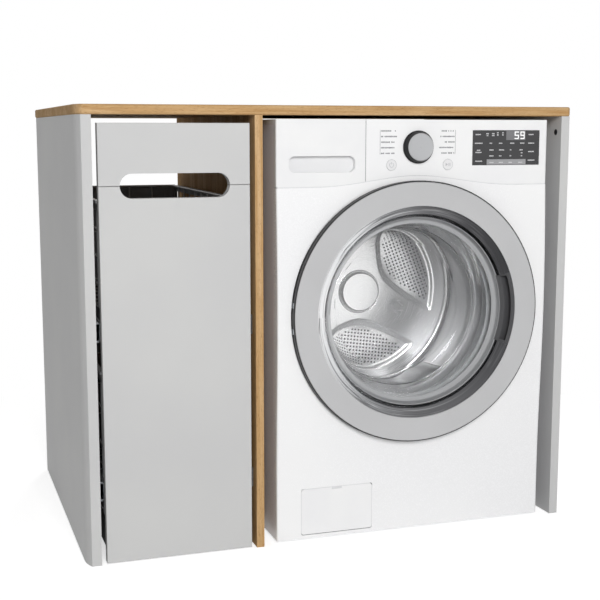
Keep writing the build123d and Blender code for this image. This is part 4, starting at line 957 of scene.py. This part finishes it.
def perforations(name, place):
    tree = Pattern("perforated field", pitch=9.2 * MM, hole=2.0 * MM, edge=HOLE_EDGE, soft=SOFT,
                   limit=HOLE_LIMIT, columns=28, rows=42, rise_from=RISE_FROM, rise_to=RISE_TO,
                   rise=(FIELD_DEPTH - ARM_DEPTH) * FLOOR_RISE)
    s = tree.size
    grid = tree.move(tree.grid(s["columns"], s["rows"], s["pitch"], s["pitch"]),
                     tree.bring(GRID_OUT), (0, 0, GRID_TURN))
    out, off, _ = tree.along(tree.node("GeometryNodeInputPosition"))
    slope = out * sin(pi / 3) - (off * off + s["soft"] * s["soft"]) ** 0.5 * cos(pi / 3)
    far = (out * out + off * off) ** 0.5
    on_floor = (slope > s["edge"]) * (far < s["limit"])
    rise = tree.step(far, s["rise_from"], s["rise_to"], 0.0, s["rise"])
    spots = tree.node("GeometryNodeSetPosition", None, {
        "Geometry": tree.without(grid, on_floor < 0.5), "Offset": tree.bring(0.0, 0.0, rise)})
    disc = tree.node("GeometryNodeMeshCircle", {"fill_type": "NGON"},
                     {"Vertices": HOLE_CORNERS, "Radius": s["hole"]})
    lip = tree.tube(tree.circle(s["hole"] + HOLE_LIP, HOLE_CORNERS), HOLE_LIP_WIRE, 4, True)
    fields = tree.row(len(FIELD_TURNS), (0, 0, 0), (0, 0, 0))
    turn = tree.bring(0.0, 0.0, tree.index() * (2 * pi / 3) + FIELD_TURNS[0])
    return tree.grow(name, [(painted_hole_shade, tree.spread(fields, tree.spread(spots, disc), turn)),
                            (rolled_steel, tree.spread(fields, tree.spread(spots, lip), turn))], place)


holes = perforations("drum_rear_holes", facing_front(
    door_axis.x, hub_front + FIELD_DEPTH - HOLE_LIP_WIRE, door_axis.z))
settle(holes, "drum", "stainless")

# %% [markdown]
# ## The bell mouth in the door
# The plated moulding does not run straight from the ring to the glass. It rolls over in a wide
# round lip, like the mouth of a bell, and ends in a thin bead before the glass. The round lip bends
# the mirrored room into streaks, and its finish adds painted reflection streaks of its own. It is a
# section turned about the door's axis, and it stops at both sides of the grip, where the hand goes
# in. The bead's seat goes all the way round.

# %% Sections of the bell mouth, radius and depth in millimetres
MOUTH = [(249.0, 0.1), (245.0, 0.5), (240.0, 1.7), (235.0, 4.0), (231.0, 7.5), (228.0, 12.0),
         (226.0, 16.0), (224.9, 19.4), (223.7, 19.9), (223.0, 20.8), (222.8, 22.0), (223.1, 23.2),
         (223.5, 23.8), (228.2, 23.8)]
SEAT = [(228.0, 23.9), (223.5, 23.9), (221.6, 28.0), (219.8, 32.0), (218.0, 34.6), (215.5, 36.0),
        (211.5, 36.7), (208.9, 36.9), (208.6, 37.3), (218.8, 37.3), (218.9, 34.3)]
MOUTH_STEPS, SHARP = 240, radians(50)
bezel_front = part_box("door_bezel")[0].y


def turn_section(work, section, start, end):
    whole = end - start > 1.999 * pi
    count = MOUTH_STEPS if whole else MOUTH_STEPS + 1
    rings = []
    for k in range(count):
        a = start + (end - start) * k / MOUTH_STEPS
        rings.append([work.verts.new((door_axis.x + r * MM * cos(a), bezel_front + y * MM,
                                      door_axis.z + r * MM * sin(a))) for r, y in section])
    for first, second in zip(rings, rings[1:] + rings[:1] if whole else rings[1:]):
        for a, b, c, d in zip(first, first[1:] + first[:1], second[1:] + second[:1], second):
            work.faces.new((a, b, c, d)).smooth = True
    if not whole:
        work.faces.new(rings[0])
        work.faces.new(rings[-1])


print("the lip has %d corners, its seat %d" % (len(MOUTH), len(SEAT)))

# %% Bell mouth
work = bmesh.new()
turn_section(work, MOUTH, GRIP_SPREAD, 2 * pi - GRIP_SPREAD)
turn_section(work, SEAT, 0.0, 2 * pi)
bmesh.ops.recalc_face_normals(work, faces=work.faces)
for crease in work.edges:
    crease.smooth = crease.calc_face_angle(0.0) < SHARP
add_piece(closed_mesh("door_bell_mouth", work), chrome, "door", "bezel_chrome")

# %% [markdown]
# ## Ridges in the drum
# Three ridges lift the laundry as the drum turns. On this drum they are low and pressed smooth, so
# they show as soft shades and not as blocks. Each one is a grid of points bent onto the drum's
# inner wall and raised by two smooth steps, one across the ridge and one towards its ends. A second
# grid without the rise closes it from behind.

# %% Lifting ridges
ridge_low, ridge_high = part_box("drum_lifters")
RIDGE_TURNS = [radians(a) for a in (60, 180, 300)]
RIDGE_HALF, RIDGE_HEIGHT, RIDGE_END = 58 * MM, 30 * MM, 70 * MM
ACROSS, ALONG, RIDGE_SEAT = 28, 32, 0.6 * MM
shell_radius = sheet_radius + RIDGE_SEAT


def ridge_point(work, turn, off, y, rise):
    radius = shell_radius - rise * cos(pi / 2 * off / RIDGE_HALF) ** 2
    angle = turn + off / shell_radius
    return work.verts.new((door_axis.x + radius * cos(angle), y, door_axis.z + radius * sin(angle)))


def ridge(work, turn):
    offs = np.linspace(-RIDGE_HALF, RIDGE_HALF, ACROSS)
    for height in (RIDGE_HEIGHT, 0.0):
        lines = []
        for y in np.linspace(ridge_low.y, ridge_high.y, ALONG):
            ends = min(1.0, (y - ridge_low.y) / RIDGE_END, (ridge_high.y - y) / RIDGE_END)
            rise = height * smooth(ends, 0.0, 1.0)
            lines.append([ridge_point(work, turn, off, y, rise) for off in offs])
        for first, second in zip(lines, lines[1:]):
            for a, b, c, d in zip(first, first[1:], second[1:], second):
                work.faces.new((a, b, c, d)).smooth = True


work = bmesh.new()
for turn in RIDGE_TURNS:
    ridge(work, turn)
bmesh.ops.remove_doubles(work, verts=work.verts, dist=0.01 * MM)
add_piece(closed_mesh("drum_ridges", work), rolled_steel, "drum", "stainless", "drum_lifters")

# %% [markdown]
# ## Printed marks on the control panel
# Beside the knob stand two columns of fine print, each along a thin upright line. Rows of plain
# dashes of uneven length make it: from a step away the eye takes them as fine print. A seeded
# random length ends each row, and seeded gaps break it.

# %% Programme marks
ink = moulded("grey printing ink", "77787A", "6C6D70", 0.6 * MM, 0.5)
pale_print = moulded("pale grey printing ink", "C2C2C4", "BCBCBE", 0.6 * MM, 0.5)
panel_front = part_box("control_fascia")[0].y
PRINT = 0.12 * MM
COLUMN_LEFT, COLUMN_RIGHT, COLUMN_RISE = 91.5 * MM, 92.5 * MM, 11.4 * MM
POST_WIDTH, POST_OFF, SPACE_SHARE = 0.7 * MM, 3.4 * MM, 0.12


def programme_column(name, start, direction, seed):
    tree = Pattern(name + " rows", pitch=12.8 * MM, dash=2.1 * MM, gap=0.75 * MM, height=3.6 * MM,
                   most=15, least=8, lines=5, seed=seed)
    s = tree.size
    stride = s["dash"] + s["gap"]
    i = tree.index()
    column = i.math("FLOOR", i / s["lines"])
    line = i - column * s["lines"]
    grid = tree.move(tree.grid(s["most"], s["lines"], stride, s["pitch"]),
                     tree.bring(stride * (s["most"] - 1) * 0.5))
    length = tree.node("FunctionNodeRandomValue", {"data_type": "INT"},
                       {4: s["least"], 5: s["most"], "ID": line, "Seed": s["seed"]}, 2)
    spaces = tree.chance(0.0, 1.0, i) < SPACE_SHARE
    spots = tree.without(grid, (column > length - 0.5) + spaces)
    tall = tree.chance(0.65, 1.0, i * 3.0)
    dashes = tree.spread(spots, tree.block(s["dash"], s["height"], PRINT), (0, 0, 0),
                         tree.bring(1.0, tall, 1.0))
    post = tree.move(tree.block(POST_WIDTH, s["pitch"] * (s["lines"] - 0.6), PRINT), (-POST_OFF, 0, 0))
    whole = tree.move(tree.both(dashes, post), (0, 0, 0), (0, 0, 0), (direction, 1, 1))
    piece = tree.grow(name, [(ink, whole)], facing_front(
        start, panel_front - PRINT / 2, knob_axis.z + COLUMN_RISE))
    if direction < 0:
        piece.data.flip_normals()
    settle(piece, "washer", "dark_plastic")


programme_column("programme_marks_left", knob_axis.x - COLUMN_LEFT, 1, 4)
programme_column("programme_marks_right", knob_axis.x + COLUMN_RIGHT, -1, 9)

# %% [markdown]
# ## Signs on the two buttons
# The left button switches the machine on, the right one starts and stops it. Both carry the signs
# that every appliance uses: a broken ring with a stroke, and a triangle beside two bars. They are
# thin shapes of their own that move with their buttons. Outlines are in millimetres from the
# middle of the button.

# %% Flat shapes


def flat_shape(work, outline):
    front, back = ([work.verts.new((x * MM, y * MM, z)) for x, y in outline]
                   for z in (PRINT / 2, -PRINT / 2))
    work.faces.new(front)
    work.faces.new(back[::-1])
    for a, b, c, d in zip(front[1:] + front[:1], front, back, back[1:] + back[:1]):
        work.faces.new((a, b, c, d))


def arc_band(radius, width, start, end, steps=28):
    angles = [radians(start + (end - start) * k / steps) for k in range(steps + 1)]
    outer, inner = ([(r * cos(a), r * sin(a)) for a in angles]
                    for r in (radius + width / 2, radius - width / 2))
    return outer + inner[::-1]


def bar(x0, y0, x1, y1):
    return [(x0, y0), (x1, y0), (x1, y1), (x0, y1)]


def sign(name, outlines, key, body, finish, slot="dark_plastic", out=PRINT / 2):
    centre = middle(key)
    work = bmesh.new()
    for outline in outlines:
        flat_shape(work, outline)
    mesh = closed_mesh(name, work)
    mesh.transform(facing_front(centre.x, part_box(key)[0].y - out, centre.z))
    add_piece(mesh, finish, body, slot)


# %% Button signs
KEY_EDGE = [arc_band(12.2, 0.7, 0, 180), arc_band(12.2, 0.7, 180, 360)]
POWER = [arc_band(5.2, 1.1, 125, 415), bar(-0.6, 1.5, 0.6, 7.2)]
START = [[(-6.0, -3.6), (-0.4, 0.0), (-6.0, 3.6)], bar(1.6, -3.6, 3.0, 3.6), bar(4.6, -3.6, 6.0, 3.6)]
sign("power_sign", KEY_EDGE + POWER, "power_button", "power_key", pale_print)
sign("start_sign", KEY_EDGE + START, "start_button", "start_key", pale_print)

# %% [markdown]
# ## The display
# Behind the smoked glass a two-figure number stands in a lighter field, with rows of small marks
# round it and a lighter strip along the lower edge. The figures are built from seven bars each, as
# on a real display. The marks are rows of tiny dashes, so they look like fine print and say
# nothing. Places are in millimetres from the middle of the glass.

# %% Number and fields on the display
lit_ink = moulded("lit white figures", "F4F4F4", "EDEDED", 1 * MM, 0.5)
lit_ink.set("Emission Color", tint("F4F4F4"))
lit_ink.set("Emission Strength", 0.25)
pale_ink = moulded("pale display marks", "DADADC", "D2D2D4", 1 * MM, 0.5)
dim_field = moulded("dim display field", "78787A", "727274", 2 * MM, 0.4)
strip_field = moulded("pale display strip", "9E9EA0", "98989A", 2 * MM, 0.4)
SEGMENTS = {"5": "afgcd", "9": "abcdfg"}
FIGURE_WIDTH, FIGURE_HEIGHT, FIGURE_BAR, FIGURE_RISE = 11.5, 18.0, 2.6, 29.2
ONTO_FIELD = PRINT / 2 + 0.15 * MM


def figure(number, x):
    w, h, t = FIGURE_WIDTH / 2, FIGURE_HEIGHT / 2, FIGURE_BAR
    runs = {"a": bar(-w, h - t, w, h), "b": bar(w - t, 0, w, h), "c": bar(w - t, -h, w, 0),
            "d": bar(-w, -h, w, -h + t), "e": bar(-w, -h, -w + t, 0), "f": bar(-w, 0, -w + t, h),
            "g": bar(-w, -t / 2, w, t / 2)}
    return [[(px + x, py + FIGURE_RISE) for px, py in runs[k]] for k in SEGMENTS[number]]


def on_display(name, outlines, finish, out=PRINT / 2):
    sign(name, outlines, "display_window", "washer", finish, "display_glass", out)


on_display("display_number_field", [bar(-0.5, 18.0, 51.0, 40.0)], dim_field)
on_display("display_strip", [bar(-51.0, -40.0, 53.0, -27.5)], strip_field)
on_display("display_number", figure("5", 27.5) + figure("9", 43.0), lit_ink, ONTO_FIELD)

# %% Small marks on the display, each by its middle, its height and its number of dashes
DASH, DASH_GAP, DASH_HEIGHT = 1.7, 0.6, 2.6
MARKS = [(-74.5, 31, 6), (66.4, 31, 6), (-50, 33, 3), (-50, 28.5, 2), (-35, 33, 3), (-35, 28.5, 3),
         (-23, 35, 2), (-9.5, 35, 2), (-23, 30, 2), (-9.5, 30, 2), (-72.8, 10.5, 9), (-41, 10.5, 3),
         (-15, 10.5, 4), (16, 10.5, 5), (43, 10.5, 5), (67.5, 10.5, 7), (-38.7, -5.4, 5),
         (-12.1, -5.4, 6), (12.2, -5.4, 2), (40.4, -5.4, 4), (-72.8, -6, 4), (-72.8, -11, 7),
         (67.5, -9.6, 7), (42, -12.4, 2), (-38.7, -19.4, 5), (-15, -19.4, 3), (12.2, -19.4, 2),
         (42, -19.4, 2), (-71.8, -31.6, 8), (68, -30.2, 8), (-38, -35, 5), (-13, -35, 5), (12, -35, 4),
         (39, -35, 5)]


def fine_print(x, y, dashes):
    starts = [x + (k - dashes / 2) * (DASH + DASH_GAP) for k in range(dashes)]
    low, high = y - DASH_HEIGHT / 2, y + DASH_HEIGHT / 2
    return [bar(start, low, start + DASH, high) for start in starts]


on_display("display_marks", [dash for mark in MARKS for dash in fine_print(*mark)], pale_ink, ONTO_FIELD)

# %% [markdown]
# ## Lips in the seams
# Where two panels of the machine meet, one tucks behind the other with a small lip, so the seam is
# a shallow pale groove and not a slit into the case. The lip is a ribbon that follows the lower
# edges of the drawer and the fascia, found from the solids, and a second ribbon goes up beside the
# drawer, grey as painted shade in that seam. The filter flap has the same lips round it, and a
# plate behind its notch.

# %% Ribbons along the seams
SEAM_DEPTH, SEAM_FILL, SHY = 0.5 * MM, 1.4 * MM, 0.05 * MM
HEM_RISE, HEM_DEPTH = 4 * MM, 0.3 * MM
SPLIT_FOOT, SPLIT_TOP = 0.5 * MM, 3 * MM
lip_white = moulded("pale lip in the seams", "DEDEE0", "D8D8DA", 0.6 * MM, 0.5)
# The lip beside the drawer is grey as painted shade in the split.
painted_shade_lip = moulded("grey lip beside the drawer", "8E8E90", "868688", 0.6 * MM, 0.5)


def ribbon(name, lower, upper, body, finish=lip_white):
    count = len(lower)
    mesh = bpy.data.meshes.new(name)
    mesh.from_pydata(lower + upper, [], [(k, k + 1, count + k + 1, count + k) for k in range(count - 1)])
    face_front(mesh)
    add_piece(mesh, finish, body, "white_plastic")


def plate(name, left, right, y, low, high, body="washer", finish=lip_white):
    ribbon(name, [(left, y, low), (right, y, low)], [(left, y, high), (right, y, high)], body, finish)


seam_y, seam_top = panel_front + SEAM_DEPTH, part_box("washer_front_panel")[1].z + HEM_RISE
hem = {}
for node in ("drawer_front", "control_fascia"):
    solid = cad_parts[node]
    for c in (solid.matrix_world @ v.co for v in solid.data.vertices):
        if c.y < panel_front + HEM_DEPTH and c.z < seam_top:
            hem[c.x] = min(c.z, hem.get(c.x, seam_top))
run = sorted(hem)
ribbon("panel_seam_lip", [(x, seam_y, hem[x] - SEAM_FILL) for x in run],
       [(x, seam_y, hem[x] - SHY) for x in run], "washer")
split_left, split_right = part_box("drawer_front")[1].x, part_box("control_fascia")[0].x
split_low = float(np.interp(split_left, run, [hem[x] for x in run]))
plate("drawer_seam_lip", split_left + SHY, split_right - SHY, seam_y, split_low + SPLIT_FOOT,
      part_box("control_fascia")[1].z - SPLIT_TOP, finish=painted_shade_lip)

# %% Ribbons round the filter flap
PEG_REACH, FLAP_GAP, FLAP_ROUND = 6 * MM, 1.5 * MM, 4 * MM
NOTCH_HALF, NOTCH_DEPTH, NOTCH_SET = 13 * MM, 5 * MM, 2.0 * MM
flap_low, flap_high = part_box("filter_flap")
flap_left, flap_right = flap_low.x + PEG_REACH, flap_high.x - PEG_REACH
flap_mid, lip_y = (flap_left + flap_right) / 2, flap_low.y + SEAM_DEPTH
near, far = SHY, FLAP_GAP - SHY
side_low, side_high = flap_low.z + FLAP_ROUND, flap_high.z - FLAP_ROUND
plate("flap_lip_left", flap_left - far, flap_left - near, lip_y, side_low, side_high)
plate("flap_lip_right", flap_right + near, flap_right + far, lip_y, side_low, side_high)
plate("flap_lip_top", flap_left + FLAP_ROUND, flap_right - FLAP_ROUND, lip_y, flap_high.z + near,
      flap_high.z + far)
plate("flap_notch_plate", flap_mid - NOTCH_HALF, flap_mid + NOTCH_HALF, flap_low.y + NOTCH_SET,
      flap_high.z - NOTCH_DEPTH, flap_high.z, "flap")

# %% [markdown]
# ## Screws at the back
# The case is closed from behind. Pan-head screws hold the round cover over the motor and both rear
# edges of the case. One head is a short drum with a dark cross on it, painted shade for the
# cross-shaped recess, and the tree sets it on a circle of points for the cover and on two rows for
# the edges.

# %% One screw, and where it faces
SCREW_RADIUS, SCREW_HEIGHT = 4 * MM, 2.4 * MM
CROSS_LENGTH, CROSS_WIDTH, CROSS_THICK = 1.1, 0.26, 0.2 * MM


def at_back(node, inset=0.0):
    centre = middle(node)
    place = Matrix.Translation((centre.x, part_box(node)[1].y - inset, centre.z))
    return place @ Matrix.Rotation(-pi / 2, 4, "X")


def screw_head(tree, radius, height):
    drum = tree.node("GeometryNodeMeshCylinder", {"fill_type": "NGON"},
                     {"Vertices": 16, "Radius": radius, "Depth": height})
    cut = tree.block(radius * CROSS_LENGTH, radius * CROSS_WIDTH, CROSS_THICK)
    cross = tree.both(cut, tree.move(cut, (0, 0, 0), (0, 0, pi / 2)))
    return drum, tree.move(cross, tree.bring(0.0, 0.0, height * 0.5))


print("screw heads are %.0f mm across" % (2 * SCREW_RADIUS / MM))

# %% Screws of the cover and the case
COVER_EDGE, CASE_EDGE, CASE_END = 10 * MM, 14 * MM, 60 * MM


def screws(name, points_of, node, **sizes):
    tree = Pattern(name + " pattern", radius=SCREW_RADIUS, height=SCREW_HEIGHT, **sizes)
    head, cross = screw_head(tree, tree.size["radius"], tree.size["height"])
    points = points_of(tree)
    # The dark cross is painted shade for the recess in the head.
    piece = tree.grow(name, [(zinc, tree.spread(points, head)), (painted_hole_shade, tree.spread(points, cross))],
                      at_back(node))
    settle(piece, "washer", "zinc")


def on_circle(tree):
    return tree.node("GeometryNodeMeshCircle", None, {"Vertices": tree.size["count"],
                                                      "Radius": tree.size["ring"]})


def on_two_rows(tree):
    half, run, count = tree.size["half"], tree.size["run"], tree.size["count"]
    step = tree.bring(0.0, run * 2.0 / (count - 1))
    return tree.both(*(tree.row(count, tree.bring(side, run * -1.0), step)
                       for side in (half * -1.0, half)))


screws("cover_screws", on_circle, "washer_rear_cover",
       ring=half_size("washer_rear_cover").x - COVER_EDGE, count=8)
screws("case_screws", on_two_rows, "washer_wrap", half=half_size("washer_wrap").x - CASE_EDGE,
       run=half_size("washer_wrap").z - CASE_END, count=5)

# %% [markdown]
# ## Threads of the water inlets and barbs of the drain
# Hose nuts screw onto the two inlets, and a hose is pushed over the drain. A thread this small
# reads as a stack of fine rings, a barb as a few broad ones, so one tree makes both.

# %% Threads and barbs


def stacked_rings(name, place, slot, finish, **sizes):
    tree = Pattern(name + " pattern", **sizes)
    s = tree.size
    ring = tree.tube(tree.circle(s["radius"], 32), s["wire"], 6, True)
    stack = tree.spread(tree.row(s["count"], (0, 0, 0), tree.bring(0.0, 0.0, s["pitch"] * -1.0)), ring)
    spots = tree.row(s["spots"], tree.bring(s["gap"] * (s["spots"] - 1) * -0.5), tree.bring(s["gap"]))
    settle(tree.grow(name, [(finish, tree.spread(spots, stack))], place), "washer", slot)


stacked_rings("inlet_threads", at_back("inlet_valve", 2 * MM), "white_plastic", white_plastic,
              radius=13.1 * MM, wire=0.8 * MM, pitch=1.9 * MM, count=8, spots=2, gap=60 * MM)
stacked_rings("drain_barbs", at_back("drain_outlet", 3 * MM), "grey_plastic", grey_plastic,
              radius=10.7 * MM, wire=1.2 * MM, pitch=5.5 * MM, count=3, spots=1, gap=0.0)
